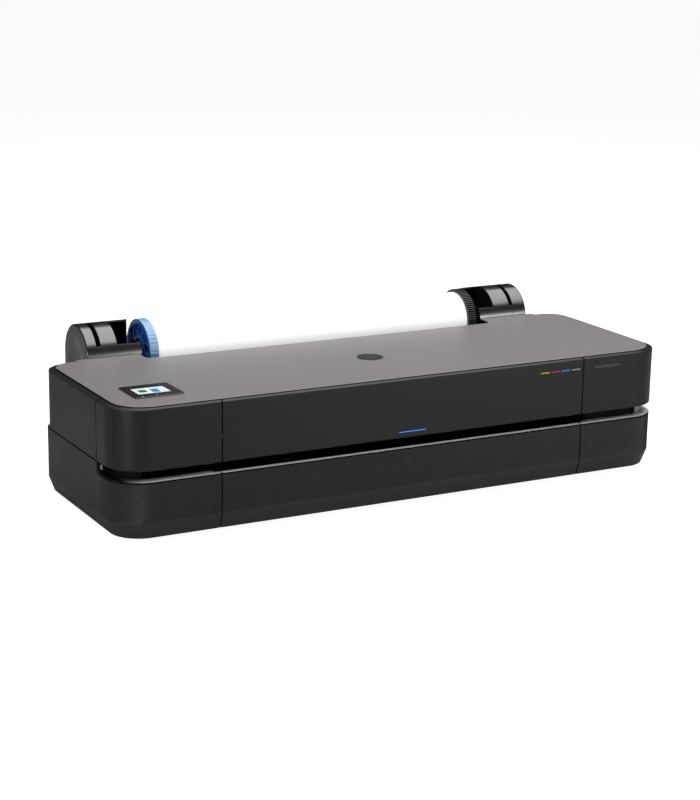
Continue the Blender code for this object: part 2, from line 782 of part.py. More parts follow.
def make_connectors():
    """Power inlet and data port plate in the rear wall's windows."""
    face = REAR - BITE
    x, z = fitted(INLET_WINDOW)
    inlet = block(x, (REAR - INLET_DEPTH, face), z)
    well_x, well_z = INLET_WELL
    cut(inlet, block(well_x, (REAR - INLET_WELL_DEPTH, LONG), well_z))
    for pin in INLET_PINS_X:
        join(inlet, block(around(pin, BITE), INLET_PIN_Y, INLET_PIN_Z))
    publish(inlet, "power_inlet", "mid_plastic")
    x, z = fitted(PORT_WINDOW)
    plate = block(x, (REAR - PORT_DEPTH, face), z)
    for x, z in PORT_WELLS:
        cut(plate, block(x, (REAR - PORT_WELL_DEPTH, LONG), z))
    publish(plate, "port_plate", "zinc_steel")


def make_electronics():
    board = block(BOARD_X, BOARD_Y, BOARD_Z)
    for x, width, height in COMPONENTS:
        join(board, block(around(x, width / 2), COMPONENT_Y, around(COMPONENT_Z, height / 2)))
    publish(board, "main_circuit_board", "circuit_board")
    publish(block(*SUPPLY), "power_supply", "zinc_steel")


def add_hinge_post(beam, x):
    """A post on an arm behind the beam, with an eye round the lid's hinge pin."""
    y, z = LID_AXIS
    inner = (x[0] + BITE, x[1] - BITE)
    join(beam, block(inner, (BEAM_Y[0] + BITE, y + BITE), HINGE_ARM_Z))
    join(beam, block(inner, around(y, HINGE_WEB), (HINGE_ARM_Z[0] + BEAM_SHEET, z)))
    join(beam, x_rod(LID_AXIS, x, EYE_RADIUS, 16))
    cut(beam, x_rod(LID_AXIS, (x[0] - BITE, x[1] + BITE), EYE_BORE, 16))


def make_side_plate(side, word):
    """The steel plate that carries one end of the guide rod and the feed roller."""
    corners = (
        (PLATE_FRONT, PLATE_LOW, 0),
        (PLATE_BACK, PLATE_LOW, 0),
        (PLATE_BACK, PLATE_TOP, PLATE_CORNER),
        (PLATE_BEND_Y, PLATE_TOP, PLATE_CORNER),
        (PLATE_FRONT, PLATE_BEND_Z, PLATE_CORNER),
    )
    plate = outline_solid(rounded(corners, 4), *sided(side, *PLATE_X), "YZ")
    cut(plate, x_rod(GUIDE_AXIS, THROUGH, GUIDE_RADIUS + GAP, 24))
    cut(plate, x_rod(FEED_AXIS, THROUGH, FEED_JOURNAL + BORE_ROOM, 20))
    publish(plate, f"{word}_chassis_plate", "zinc_steel")


def make_chassis():
    """Steel side plates, beam and guide rod, which carry the print mechanism."""
    for side, word in ((-1, "left"), (1, "right")):
        make_side_plate(side, word)
    beam = block(around(0, BEAM_X), BEAM_Y, BEAM_Z)
    behind = (BEAM_Y[0] + BEAM_SHEET, LONG)
    cut(beam, block(THROUGH, behind, (BEAM_Z[0] + BEAM_SHEET, BEAM_Z[1] - BEAM_SHEET)))
    cut(beam, block((-LONG, -BEAM_NOTCH_X), (behind[0] + GAP, LONG), UPWARD))
    cut(beam, rod("Y", (-PULLEY_X, BEAM_Y[0], BELT_Z), MOTOR_BORE, 3 * OVERCUT, 20))
    for side in (-1, 1):
        add_hinge_post(beam, sided(side, *HINGE_POST_X))
    publish(beam, "chassis_beam", "zinc_steel")
    publish(x_rod(GUIDE_AXIS, around(0, GUIDE_END), GUIDE_RADIUS, 24), "guide_rod", "bright_steel")


def make_output_guide():
    """The shelf the paper leaves over, with a lug at each end for the output roller."""
    shelf_x = around(0, GUIDE_X)
    low, high = GUIDE_Z
    guide = block(shelf_x, GUIDE_Y, GUIDE_Z)
    join(guide, block(shelf_x, (GUIDE_Y[1] - WALL, GUIDE_Y[1]), (low, GUIDE_LIP_TOP)))
    for side in (-1, 1):
        join(guide, block(sided(side, *LUG_X), LUG_Y, LUG_Z))
    cut(guide, x_rod(OUTPUT_AXIS, THROUGH, OUTPUT_JOURNAL + BORE_ROOM, 20))
    publish(guide, "output_guide", "black_satin")


def make_paper_path():
    """Platen, output guide, cutter rail and pinch roller frame."""
    platen = block(around(0, PATH_X), PLATEN_Y, (PLATEN_LOW, PAPER_PATH - BITE))
    rib_y = (PLATEN_Y[0] + PLATEN_RIB_INSET, PLATEN_Y[1] - PLATEN_RIB_INSET)
    rib_z = (PLATEN_LOW + PLATEN_RIB_INSET, PAPER_PATH)
    for index in range(PLATEN_RIBS):
        x = (index - (PLATEN_RIBS - 1) / 2) * PLATEN_RIB_PITCH
        join(platen, block(around(x, PLATEN_RIB_HALF), rib_y, rib_z))
    publish(platen, "platen", "mid_plastic")
    make_output_guide()
    publish(block(RAIL_X, RAIL_Y, RAIL_Z), "cutter_rail", "zinc_steel")
    low, high = PINCH_FRAME_Z
    back = (PINCH_FRAME_Y[1] - WALL, PINCH_FRAME_Y[1])
    frame = block(around(0, PINCH_FRAME_X), PINCH_FRAME_Y, (low, low + WALL))
    join(frame, block(around(0, PINCH_FRAME_X), back, PINCH_FRAME_Z))
    publish(frame, "pinch_roller_frame", "zinc_steel")


def roller(name, axis, radius, half, journal_radius, journal_half):
    """A long roller with a thinner journal at each end, turning about X."""
    shaft = x_rod(axis, around(0, half), radius, 24)
    join(shaft, x_rod(axis, around(0, journal_half), journal_radius, 20))
    body(f"{name}_axis", (0, *axis))
    publish(shaft, name, "grey_rubber", f"{name}_axis")


def make_rollers():
    short = SHORT_ROLLER_HALF
    roller("feed_roller", FEED_AXIS, FEED_RADIUS, FEED_ROLLER_HALF, FEED_JOURNAL, FEED_END)
    roller("pinch_roller", PINCH_AXIS, PINCH_RADIUS, short, PINCH_JOURNAL, PINCH_END)
    roller("output_roller", OUTPUT_AXIS, OUTPUT_RADIUS, short, OUTPUT_JOURNAL, OUTPUT_END)


def stadium(radius, steps=12):
    """A belt loop's side view: two straight runs and a half turn round each pulley."""
    points = []
    for middle, start in ((PULLEY_X, -90), (-PULLEY_X, 90)):
        for step in range(steps + 1):
            angle = math.radians(start + 180 * step / steps)
            points.append(Vector((middle + radius * math.cos(angle), BELT_Z + radius * math.sin(angle))))
    return points


def make_belt_drive():
    """Toothless belt loop, its two pulleys, the carriage motor and the feed motor."""
    inner = PULLEY_RADIUS + GAP
    y = around(BELT_Y, BELT_HALF)
    belt = outline_solid(stadium(inner + BELT_THICKNESS), *y, "XZ")
    cut(belt, outline_solid(stadium(inner), y[0] - OVERCUT, y[1] + OVERCUT, "XZ"))
    publish(belt, "timing_belt", "black_rubber")
    for side, word in ((-1, "motor_pulley"), (1, "idler_pulley")):
        x = side * PULLEY_X
        wheel = rod("Y", (x, BELT_Y, BELT_Z), PULLEY_RADIUS, PULLEY_WIDTH, 24)
        join(wheel, rod("Y", (x, BELT_Y + BOSS_OFFSET, BELT_Z), BOSS_RADIUS, BOSS_LENGTH, 20))
        body(f"{word}_axis", (x, BELT_Y, BELT_Z))
        publish(wheel, word, "bright_steel", f"{word}_axis")
    motor_y = BEAM_Y[0] + WALL + MOTOR_LENGTH / 2
    motor = rod("Y", (-PULLEY_X, motor_y, BELT_Z), MOTOR_RADIUS, MOTOR_LENGTH, 28)
    publish(motor, "carriage_motor", "zinc_steel")
    feed_motor = x_rod(FEED_MOTOR_AXIS, FEED_MOTOR_X, FEED_MOTOR_RADIUS, 28)
    publish(feed_motor, "feed_motor", "zinc_steel")


def make_carriage():
    """The print carriage on the guide rod, with its belt clamp and printhead below."""
    origin = (PARK_X, *GUIDE_AXIS)
    body("carriage_slide", origin)
    x = around(PARK_X, CARRIAGE_WIDTH / 2)
    front, back = CARRIAGE_Y
    corners = (
        (front, CARRIAGE_LOW, 0.002),
        (back, CARRIAGE_LOW, 0),
        (back, CARRIAGE_BACK_TOP, 0.004),
        (front, CARRIAGE_FRONT_TOP, 0.012),
    )
    frame = outline_solid(rounded(corners, 5), *x, "YZ")
    bearing_x = around(PARK_X, CARRIAGE_WIDTH / 2 - BEARING_INSET)
    join(frame, block(bearing_x, *(around(middle, BEARING_HALF) for middle in GUIDE_AXIS)))
    join(frame, block(around(PARK_X, BEARING_HALF), CLAMP_Y, CLAMP_Z))
    cut(frame, x_rod(GUIDE_AXIS, THROUGH, GUIDE_RADIUS + GAP, 24))
    run = BELT_Z - PULLEY_RADIUS - GAP - BELT_THICKNESS
    belt_y = around(BELT_Y, BELT_HALF + BELT_ROOM)
    belt_z = (run - BORE_ROOM, run + BELT_THICKNESS + BORE_ROOM)
    cut(frame, block(THROUGH, belt_y, belt_z))
    publish(centre_origin(frame, origin), "print_carriage", "mid_plastic", "carriage_slide")
    head_z = (PAPER_PATH + HEAD_ROOM, CARRIAGE_LOW - GAP)
    head = block(around(PARK_X, HEAD_HALF), HEAD_Y, head_z)
    publish(head, "printhead", "black_gloss", "carriage_slide")


def make_cutter():
    """The paper cutter, parked on the right end of its rail."""
    x, y, _ = CUTTER_AT
    half_x, half_y = CUTTER_HALF
    body("cutter_slide", CUTTER_AT)
    tool = block(around(x, half_x), around(y, half_y), CUTTER_Z)
    room = [(low - RAIL_ROOM, high + RAIL_ROOM) for low, high in (RAIL_Y, RAIL_Z)]
    cut(tool, block(THROUGH, *room))
    publish(tool, "cutter_slider", "mid_plastic", "cutter_slide")


def make_stations():
    """Service station under the parked carriage and the ink station beside it."""
    station = block(*STATION)
    cut(station, block(*STATION_WELL))
    join(station, block(*STATION_CAP))
    cut(station, block(*CAP_WELL))
    publish(station, "service_station", "mid_plastic")
    half = len(CARTRIDGES) * CARTRIDGE_PITCH / 2 + INK_WALL
    tank = block(around(INK_X, half), INK_Y, INK_Z)
    well_y = (INK_Y[0] + INK_END_WALL, INK_Y[1] - INK_END_WALL)
    for index in range(len(CARTRIDGES)):
        well_x = around(cartridge_x(index), CARTRIDGE_WIDTH / 2 + CARTRIDGE_ROOM)
        cut(tank, block(well_x, well_y, (INK_WELL_LOW, LONG)))
    publish(tank, "ink_station", "mid_plastic")


def cartridge_x(index):
    return INK_X + (index - (len(CARTRIDGES) - 1) / 2) * CARTRIDGE_PITCH


def make_cartridges():
    room = INK_END_WALL + CARTRIDGE_ROOM
    front, back = INK_Y[0] + room, INK_Y[1] - room
    low, top = CARTRIDGE_Z
    half = CARTRIDGE_WIDTH / 2
    front_corner, back_corner = CARTRIDGE_CORNERS
    corners = ((front, low, 0), (back, low, 0), (back, top, back_corner), (front, top, front_corner))
    grip_y = tuple(back - distance for distance in GRIP_FROM_BACK)
    for index, colour in enumerate(CARTRIDGES):
        x = cartridge_x(index)
        origin = (x, (front + back) / 2, CARTRIDGE_MIDDLE_Z)
        body(f"{colour}_cartridge_slide", origin)
        tank = outline_solid(rounded(corners, 4), *around(x, half), "YZ")
        cut(tank, block(around(x, half + OVERCUT), grip_y, GRIP_Z))
        centre_origin(tank, origin)
        publish(tank, f"{colour}_ink_cartridge", "ink_grey", f"{colour}_cartridge_slide")


def add_hinge_ears(panel, side):
    """Two ears and a pin under the panel's rear edge, round one of the beam's posts."""
    web = around(LID_AXIS[0], HINGE_WEB)
    for near in HINGE_EAR_X:
        far = near + EAR_WIDTH
        join(panel, x_rod(LID_AXIS, sided(side, near, far), EYE_RADIUS, 16))
        web_x = sided(side, near + BITE, far - BITE)
        join(panel, block(web_x, web, (LID_AXIS[1], PANEL_LOW + BITE)))
    join(panel, x_rod(LID_AXIS, sided(side, *HINGE_PIN_X), PIN_RADIUS, 16))


def make_lid_fascia():
    """The lid's front fascia, with a window for the status light."""
    fascia = upper_piece(around(0, SEAM_X - SEAM / 2), (-LONG, SEAM_Y))
    window = [(low - GAP, high + GAP) for low, high in (LIGHT_BAR_X, LIGHT_BAR_Z)]
    cut(fascia, block(window[0], (-LONG, 0), window[1]))
    centre_origin(fascia, (0, *LID_AXIS))
    publish(fascia, "lid_front_fascia", "black_satin", "lid_hinge_axis")


def make_lid():
    """The lid: grey top panel with hinge ears, front fascia and inner frame."""
    body("lid_hinge_axis", (0, *LID_AXIS))
    panel = outline_solid(panel_outline(), PANEL_LOW, TOP)
    for side in (-1, 1):
        add_hinge_ears(panel, side)
    centre_origin(panel, (0, *LID_AXIS))
    publish(panel, "top_panel", "grey_panel", "lid_hinge_axis")
    make_lid_fascia()
    frame_z = (PANEL_LOW - LID_FRAME_DEPTH, PANEL_LOW - GAP)
    frame = block(around(0, LID_FRAME_X), LID_FRAME_Y, frame_z)
    for x in LID_OPENINGS_X:
        for y in LID_OPENINGS_Y:
            cut(frame, block(x, y, UPWARD))
    publish(frame, "lid_inner_frame", "mid_plastic", "lid_hinge_axis")


def make_control_panel():
    """Display in its bezel on the top panel, and the status light in the fascia."""
    low = TOP + GAP
    (left, right), (front, back) = BEZEL_X, BEZEL_Y
    spots = ((left, front), (right, front), (right, back), (left, back))
    outline = rounded(tuple((*spot, BEZEL_CORNER) for spot in spots), 4)
    bezel = outline_solid(outline, low, low + BEZEL_HEIGHT)
    window = [(start - GAP, end + GAP) for start, end in (SCREEN_X, SCREEN_Y)]
    cut(bezel, block(*window, (SCREEN_LOW, LONG)))
    publish(bezel, "control_panel_bezel", "black_gloss", "lid_hinge_axis")
    screen = block(SCREEN_X, SCREEN_Y, (SCREEN_LOW + GAP, SCREEN_TOP))
    publish(screen, "touch_display", "display", "lid_hinge_axis")
    bar = block(LIGHT_BAR_X, (FRONT, FRONT + WALL), LIGHT_BAR_Z)
    publish(bar, "status_light_bar", "light_bar", "lid_hinge_axis")


def hub(name, side, face, slot, parent):
    """A roll hub: a flanged disc with a plug that enters the roll's core."""
    outside = face + side * HUB_WIDTH
    wheel = x_rod(ROLL_AXIS, (face, outside), HUB_RADIUS, 64)
    dish_x = (outside - side * HUB_DISH, outside + side * OVERCUT)
    ring = x_rod(ROLL_AXIS, dish_x, HUB_RADIUS - HUB_FLANGE, 48)
    cut(ring, x_rod(ROLL_AXIS, THROUGH, HUB_FACE_RADIUS, 40))
    join(wheel, x_rod(ROLL_AXIS, (face + side * BITE, face - side * PLUG_LENGTH), PLUG_RADIUS, 40))
    cut(wheel, ring)
    cut(wheel, x_rod(ROLL_AXIS, THROUGH, SHAFT_RADIUS + GAP, 32))
    publish(centre_origin(wheel, (face, *ROLL_AXIS)), name, slot, parent)


def tube(outer, inner, x):
    return cut(x_rod(ROLL_AXIS, x, outer, 64), x_rod(ROLL_AXIS, THROUGH, inner, 48))


def make_bush(side, word):
    """The collar that carries one end of the spindle in its support's seat."""
    inner_room, outer_room = BUSH_ROOM
    x = sided(side, ARCH_INNER[side] + WALL + inner_room, ARCH_RING - outer_room)
    bush = x_rod(ROLL_AXIS, x, BUSH_RADIUS, 40)
    cut(bush, x_rod(ROLL_AXIS, THROUGH, SHAFT_RADIUS + GAP, 32))
    publish(bush, f"{word}_spindle_bush", "mid_plastic", "spindle_lift")


def make_spindle():
    """Bushes that lift out of the supports, and the spindle that turns in them."""
    body("spindle_lift", (0, *ROLL_AXIS))
    body("spindle_axis", (0, *ROLL_AXIS))
    body("adjustable_hub_slide", (ROLL_RIGHT, *ROLL_AXIS))
    for side, word in ((-1, "left"), (1, "right")):
        make_bush(side, word)
    shaft = x_rod(ROLL_AXIS, around(0, ARCH_RING - SHAFT_END_ROOM), SHAFT_RADIUS, 32)
    publish(shaft, "spindle_shaft", "black_gloss", "spindle_axis")
    hub("blue_end_hub", -1, ROLL_LEFT - GAP, "blue_plastic", "spindle_axis")
    hub("adjustable_hub", 1, ROLL_RIGHT + GAP, "black_gloss", "adjustable_hub_slide")
    x = (ROLL_LEFT, ROLL_RIGHT)
    publish(tube(CORE_RADIUS, BORE_RADIUS, x), "roll_core", "brown_card", "spindle_axis")
    publish(tube(ROLL_RADIUS, CORE_RADIUS + GAP, x), "paper_roll", "white_paper", "spindle_axis")


def main():
    make_materials()
    make_base()
    make_lower_half()
    make_upper_half()
    make_rear_cover()
    make_roll_housing()
    make_connectors()
    make_electronics()
    for side, word in ((-1, "left"), (1, "right")):
        make_roll_support(side, word)
        make_end_cap(side, word)
    make_chassis()
    make_paper_path()
    make_rollers()
    make_belt_drive()
    make_carriage()
    make_cutter()
    make_stations()
    make_cartridges()
    make_lid()
    make_control_panel()
    make_spindle()


main()
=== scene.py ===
"""Looks of the large format plotter: fine shells, hubs, roll, controls and materials.

Metres, +Z up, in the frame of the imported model: +X to the right of the front, -Y out of the front.
"""

import math

import bmesh
import bpy
from mathutils import Matrix, Vector

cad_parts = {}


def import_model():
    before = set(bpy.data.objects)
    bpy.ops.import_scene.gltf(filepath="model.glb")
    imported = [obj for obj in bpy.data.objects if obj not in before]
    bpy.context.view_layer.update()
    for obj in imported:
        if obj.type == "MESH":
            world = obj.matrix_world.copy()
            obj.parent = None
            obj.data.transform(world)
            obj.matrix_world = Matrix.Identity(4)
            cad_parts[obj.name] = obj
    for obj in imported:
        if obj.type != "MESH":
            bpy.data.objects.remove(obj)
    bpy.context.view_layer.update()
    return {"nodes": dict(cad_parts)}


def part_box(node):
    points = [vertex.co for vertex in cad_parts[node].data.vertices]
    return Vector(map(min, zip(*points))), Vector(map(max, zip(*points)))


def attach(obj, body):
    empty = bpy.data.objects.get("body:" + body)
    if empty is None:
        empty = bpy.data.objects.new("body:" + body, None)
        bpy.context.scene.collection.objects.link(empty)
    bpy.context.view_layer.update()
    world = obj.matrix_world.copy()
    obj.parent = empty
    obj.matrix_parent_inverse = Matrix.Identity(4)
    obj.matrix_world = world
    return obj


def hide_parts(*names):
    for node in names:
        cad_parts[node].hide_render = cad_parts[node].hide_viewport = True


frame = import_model()
NODES = frame["nodes"]

MM = 0.001

# Distances that count as the same place, in a calculation and on a finished mesh.
TOUCH = 1e-6
MESH_TOUCH = 1e-5

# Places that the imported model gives.
LEFT, FRONT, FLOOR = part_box("lower_left_cover")[0]
HALF = -LEFT
LOWER_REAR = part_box("lower_left_cover")[1].y
BODY_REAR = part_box("left_side_panel")[1].y
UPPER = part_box("lid_front_fascia")[0].z
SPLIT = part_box("lower_left_cover")[1].z
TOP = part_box("top_panel")[1].z
PANEL_LOW = TOP - 3 * MM
LEDGE_TOP = PANEL_LOW - 0.4 * MM
SEAM_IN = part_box("lid_front_fascia")[1].x
SEAM_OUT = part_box("right_corner_fascia")[0].x
SEAM_X = (SEAM_IN + SEAM_OUT) / 2
SEAM_Y = (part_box("left_corner_fascia")[1].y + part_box("left_side_panel")[0].y) / 2
EAR_X = 0.4475
NOTCH_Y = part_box("rear_cover")[0].y

ROLL_LOW, ROLL_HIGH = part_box("paper_roll")
ROLL_X = (ROLL_LOW.x, ROLL_HIGH.x)
ROLL_Y = (ROLL_LOW.y + ROLL_HIGH.y) / 2
ROLL_Z = (ROLL_LOW.z + ROLL_HIGH.z) / 2
ROLL_RADIUS = (ROLL_HIGH.z - ROLL_LOW.z) / 2

# The shell's outline from above and its sections.
FRONT_CORNER = 58 * MM
REAR_CORNER = 44 * MM
CHAMFER_TOP = FLOOR + 24.5 * MM
FRONT_CHAMFER = 9 * MM
LIP = UPPER - 17 * MM
GROOVE_LOW = LIP - 2.7 * MM
GROOVE_HIGH = LIP - 0.8 * MM
GROOVE_DEPTH = 2.2 * MM
LEDGE = 19.5 * MM
MIDDLE_LEDGE = 10 * MM
LEDGE_STEP_X = 0.345
COLUMN_X = 0.461
WALL = 3 * MM
RIM_DROP = 4 * MM
RIM_INNER = TOP - 1.6 * MM
FRONT_RIM = 5.5 * MM
SIDE_RIM = 10 * MM
LOW_RIM_Y = BODY_REAR - 26 * MM
LOW_RIM_TOP = TOP - 2.1 * MM

# The fine diagonal ribs on the lower half.
RIB_PITCH = 5.4 * MM
RIB_DEPTH = 0.8 * MM
RIB_WAVE = (0.0, 0.15, 0.85, 1.0, 0.85, 0.15)
RIB_LOW = CHAMFER_TOP + 2.5 * MM
RIB_HIGH = GROOVE_LOW - 0.6 * MM
RIB_END_Y = SEAM_Y - 14 * MM

# Visible width of the joints between the shells.
JOINT = 2.2 * MM

# Distances walked along the outline where the swept shells start and end, past what is trimmed.
LOWER_BACK = 0.20
UPPER_BACK = 0.25
UPPER_FRONT = 0.10
LID_REACH = 0.44
COLUMN_REACH = (0.40, 0.75)

# The roll's hubs and the hole they leave for the shaft.
HUB_WIDTH = 17 * MM
HUB_ROOM = 0.4 * MM
SHAFT_HOLE = 9 * MM
SPOKES = 10
SPOKE_INNER = 24.4 * MM

# The grey panel's paint, at its darkest and its lightest.
PANEL_TONES = (0.225, 0.212, 0.208), (0.350, 0.333, 0.328)

# Small coloured marks: the inks on the front, and the two dots on the control panel.
MARK_COLOURS = {
    "yellow": (0.75, 0.60, 0.02),
    "magenta": (0.62, 0.03, 0.22),
    "cyan": (0.03, 0.35, 0.65),
    "light": (0.42, 0.42, 0.42),
    "white": (0.75, 0.75, 0.75),
    "pink": (0.55, 0.30, 0.32),
}

SIDES = ((-1, "left"), (1, "right"))

# Turns a plate drawn in X and Z to stand on the front, with its thickness towards -Y.
ON_FRONT = Matrix(((1, 0, 0), (0, 0, -1), (0, 1, 0))).to_4x4()
# The same for the rear wall, with the thickness towards +Y and X drawn mirrored.
ON_REAR = Matrix(((-1, 0, 0), (0, 0, 1), (0, 1, 0))).to_4x4()

MATERIALS = {}


# ---- materials


class Graph:
    """Short calls for the nodes of one material."""

    def __init__(self, name):
        self.material = bpy.data.materials.new(name)
        self.material.use_nodes = True
        self.tree = self.material.node_tree
        self.shader = self.tree.nodes["Principled BSDF"]
        self.place = self.add("ShaderNodeTexCoord").outputs["Object"]

    def add(self, kind, **settings):
        node = self.tree.nodes.new(kind)
        for key, value in settings.items():
            setattr(node, key, value)
        return node

    def link(self, source, target):
        self.tree.links.new(source, target)

    def fill(self, node, **values):
        for key, value in values.items():
            self.put(node.inputs[key.replace("_", " ")], value)
        return node

    def mapped(self, scale=(1, 1, 1), location=(0, 0, 0)):
        node = self.add("ShaderNodeMapping")
        self.fill(node, Vector=self.place, Scale=scale, Location=location)
        return node.outputs["Vector"]

    def noise(self, scale, detail=2.0, vector=None):
        node = self.add("ShaderNodeTexNoise")
        self.fill(node, Vector=vector or self.place, Scale=scale, Detail=detail)
        self.fill(node, Roughness=0.5)
        return node.outputs["Fac"]

    def ranged(self, value, low=0.0, high=1.0, source=(0.3, 0.7)):
        node = self.add("ShaderNodeMapRange")
        self.fill(node, Value=value, To_Min=low, To_Max=high)
        self.fill(node, From_Min=source[0], From_Max=source[1])
        return node.outputs["Result"]

    def put(self, socket, value):
        """Links a value that comes from a node, or sets one that doesn't."""
        if isinstance(value, bpy.types.NodeSocket):
            self.link(value, socket)
        else:
            socket.default_value = value

    def math(self, operation, a, b=0.0):
        node = self.add("ShaderNodeMath", operation=operation)
        for socket, value in zip(node.inputs, (a, b)):
            self.put(socket, value)
        return node.outputs["Value"]

    def mix(self, factor, a, b):
        node = self.add("ShaderNodeMix", data_type="RGBA")
        for place, value in zip((0, 6, 7), (factor, a, b)):
            self.put(node.inputs[place], (*value, 1) if isinstance(value, tuple) else value)
        return node.outputs[2]

    def surface(self, **values):
        self.fill(self.shader, **values)

    def relief(self, height, distance):
        node = self.add("ShaderNodeBump")
        self.fill(node, Height=height, Distance=distance, Strength=1.0)
        self.link(node.outputs["Normal"], self.shader.inputs["Normal"])

    def done(self, name):
        MATERIALS[name] = self.material
        return self.material


def added(name, data):
    """A new object in the scene."""
    made = bpy.data.objects.new(name, data)
    bpy.context.scene.collection.objects.link(made)
    return made


def scaled(colour, share):
    return tuple(channel * share for channel in colour)


def moulded(name, colour, roughness, grain, depth, mottle=0.08, specular=0.5, coat=0.0, ior=1.5):
    """Moulded plastic or rubber: soft clouds in the colour, a fine grain in gloss and relief."""
    g = Graph(name)
    cloud = g.noise(9.0, 3.0)
    speck = g.noise(grain)
    tones = scaled(colour, 1 - mottle), scaled(colour, 1 + mottle)
    g.surface(Base_Color=g.mix(g.ranged(cloud), *tones))
    smudge = g.noise(30.0, 4.0)
    uneven = 0.12 * roughness
    broad = g.ranged(smudge, -uneven / 2, uneven / 2)
    spread = g.math("ADD", g.ranged(speck, -uneven, uneven), broad)
    g.relief(speck, depth)
    g.surface(Roughness=g.math("ADD", spread, roughness), Specular_IOR_Level=specular)
    g.surface(Coat_Weight=coat, Coat_Roughness=0.08, IOR=ior)
    g.done(name)


def metal(name, colour, roughness, streak=(1, 1, 1), grain=700.0):
    """Bare or plated metal with drawn streaks or a mottled plating."""
    g = Graph(name)
    lines = g.noise(grain, 3.0, g.mapped(streak))
    patches = g.noise(40.0)
    tones = scaled(colour, 0.86), scaled(colour, 1.06)
    g.surface(Base_Color=g.mix(g.ranged(patches), *tones))
    g.surface(Roughness=g.ranged(lines, roughness - 0.08, roughness + 0.10))
    g.relief(lines, 0.02 * MM)
    g.surface(Metallic=1.0)
    g.done(name)


def paper(name):
    """White roll paper: faint fibres, the wound layers as rings on the ends, and a faint painted
    glow that lifts its shade.
    """
    g = Graph(name)
    fibre = g.noise(900.0, 4.0)
    rings = g.add("ShaderNodeTexWave", wave_type="RINGS", rings_direction="X")
    around_axis = g.mapped(location=(0, -ROLL_Y, -ROLL_Z))
    g.fill(rings, Vector=around_axis, Scale=900.0, Distortion=1.5, Detail=1.0)
    facing = g.add("ShaderNodeSeparateXYZ")
    normal = g.add("ShaderNodeNewGeometry").outputs["Normal"]
    g.link(normal, facing.inputs[0])
    end = g.math("GREATER_THAN", g.math("ABSOLUTE", facing.outputs["X"]), 0.7)
    layered = g.math("MULTIPLY", end, g.ranged(rings.outputs["Fac"], 0.0, 1.0, (0.0, 1.0)))
    g.surface(Base_Color=g.mix(layered, (0.93, 0.93, 0.925), (0.62, 0.62, 0.61)))
    g.surface(Roughness=g.ranged(fibre, 0.72, 0.86))
    g.relief(fibre, 0.03 * MM)
    # Painted light: the paper glows faintly though it is no lamp, lifting its shaded side.
    g.surface(Emission_Strength=g.ranged(fibre, 0.46, 0.50))
    g.surface(Emission_Color=(1, 1, 1, 1))
    g.done(name)


def card(name):
    """Brown card of the roll's core, wound in a spiral."""
    g = Graph(name)
    fibre = g.noise(420.0, 5.0)
    turns = g.add("ShaderNodeTexWave", wave_type="BANDS", bands_direction="DIAGONAL")
    g.fill(turns, Vector=g.place, Scale=18.0, Distortion=0.4)
    winding = g.math("MULTIPLY", turns.outputs["Fac"], 0.2)
    tone = g.math("ADD", g.math("MULTIPLY", fibre, 0.7), winding)
    g.surface(Base_Color=g.mix(g.ranged(tone), (0.30, 0.20, 0.11), (0.50, 0.36, 0.22)))
    g.surface(Roughness=0.9)
    g.relief(fibre, 0.08 * MM)
    g.done(name)


def circuit(name):
    """Green board with fine copper tracks under the lacquer."""
    g = Graph(name)
    tracks = g.add("ShaderNodeTexVoronoi", distance="MANHATTAN", feature="DISTANCE_TO_EDGE")
    g.fill(tracks, Vector=g.place, Scale=160.0)
    line = g.math("LESS_THAN", tracks.outputs["Distance"], 0.06)
    g.surface(Base_Color=g.mix(line, (0.010, 0.11, 0.045), (0.06, 0.26, 0.10)))
    g.surface(Roughness=0.35)
    g.relief(line, 0.05 * MM)
    g.done(name)


def glowing(name, colour, strength):
    """A lit surface under clear plastic, with a faint cloudiness in its colour and gloss."""
    g = Graph(name)
    haze = g.noise(120.0)
    shade = g.mix(g.ranged(haze), scaled(colour, 0.92), colour)
    g.surface(Base_Color=shade)
    g.surface(Emission_Color=shade)
    g.surface(Emission_Strength=strength)
    g.surface(Roughness=g.ranged(haze, 0.17, 0.23))
    g.done(name)


def grey_metallic(name):
    """The top panel's warm grey satin paint, with fine metal flakes."""
    g = Graph(name)
    flake = g.add("ShaderNodeTexVoronoi")
    g.fill(flake, Vector=g.place, Scale=1500.0)
    cloud = g.noise(5.0)
    away = flake.outputs["Distance"]
    tone = g.math("ADD", g.ranged(cloud, -0.04, 0.04), g.ranged(away, -0.10, 0.10, (0.1, 0.8)))
    g.surface(Base_Color=g.mix(g.math("ADD", tone, 0.5), *PANEL_TONES))
    g.surface(Roughness=g.ranged(away, 0.36, 0.50, (0.1, 0.8)))
    g.relief(away, 0.012 * MM)
    g.surface(Metallic=0.25)
    g.done(name)


def ledge_painted_highlight(name):
    """The glossy ledge in the paper slot, painted near white as a painted highlight and fading to
    painted shade where it runs round the left corner.
    """
    g = Graph(name)
    split = g.add("ShaderNodeSeparateXYZ")
    g.link(g.place, split.inputs[0])
    streak = g.noise(260.0, 2.0, g.mapped((0.05, 1, 1)))
    # Painted highlight: near white stands in for the reflection along the front of the glossy black
    # ledge.
    tone = g.mix(g.ranged(streak), (0.84, 0.84, 0.85), (0.94, 0.94, 0.95))
    # Painted shade: near black where the ledge runs round the left corner, with a fade between.
    share = g.ranged(split.outputs["X"], 0.0, 1.0, (-0.490, -0.462))
    g.surface(Base_Color=g.mix(share, (0.012, 0.012, 0.012), tone))
    g.surface(Roughness=g.ranged(streak, 0.24, 0.34))
    g.relief(streak, 0.01 * MM)
    g.done(name)


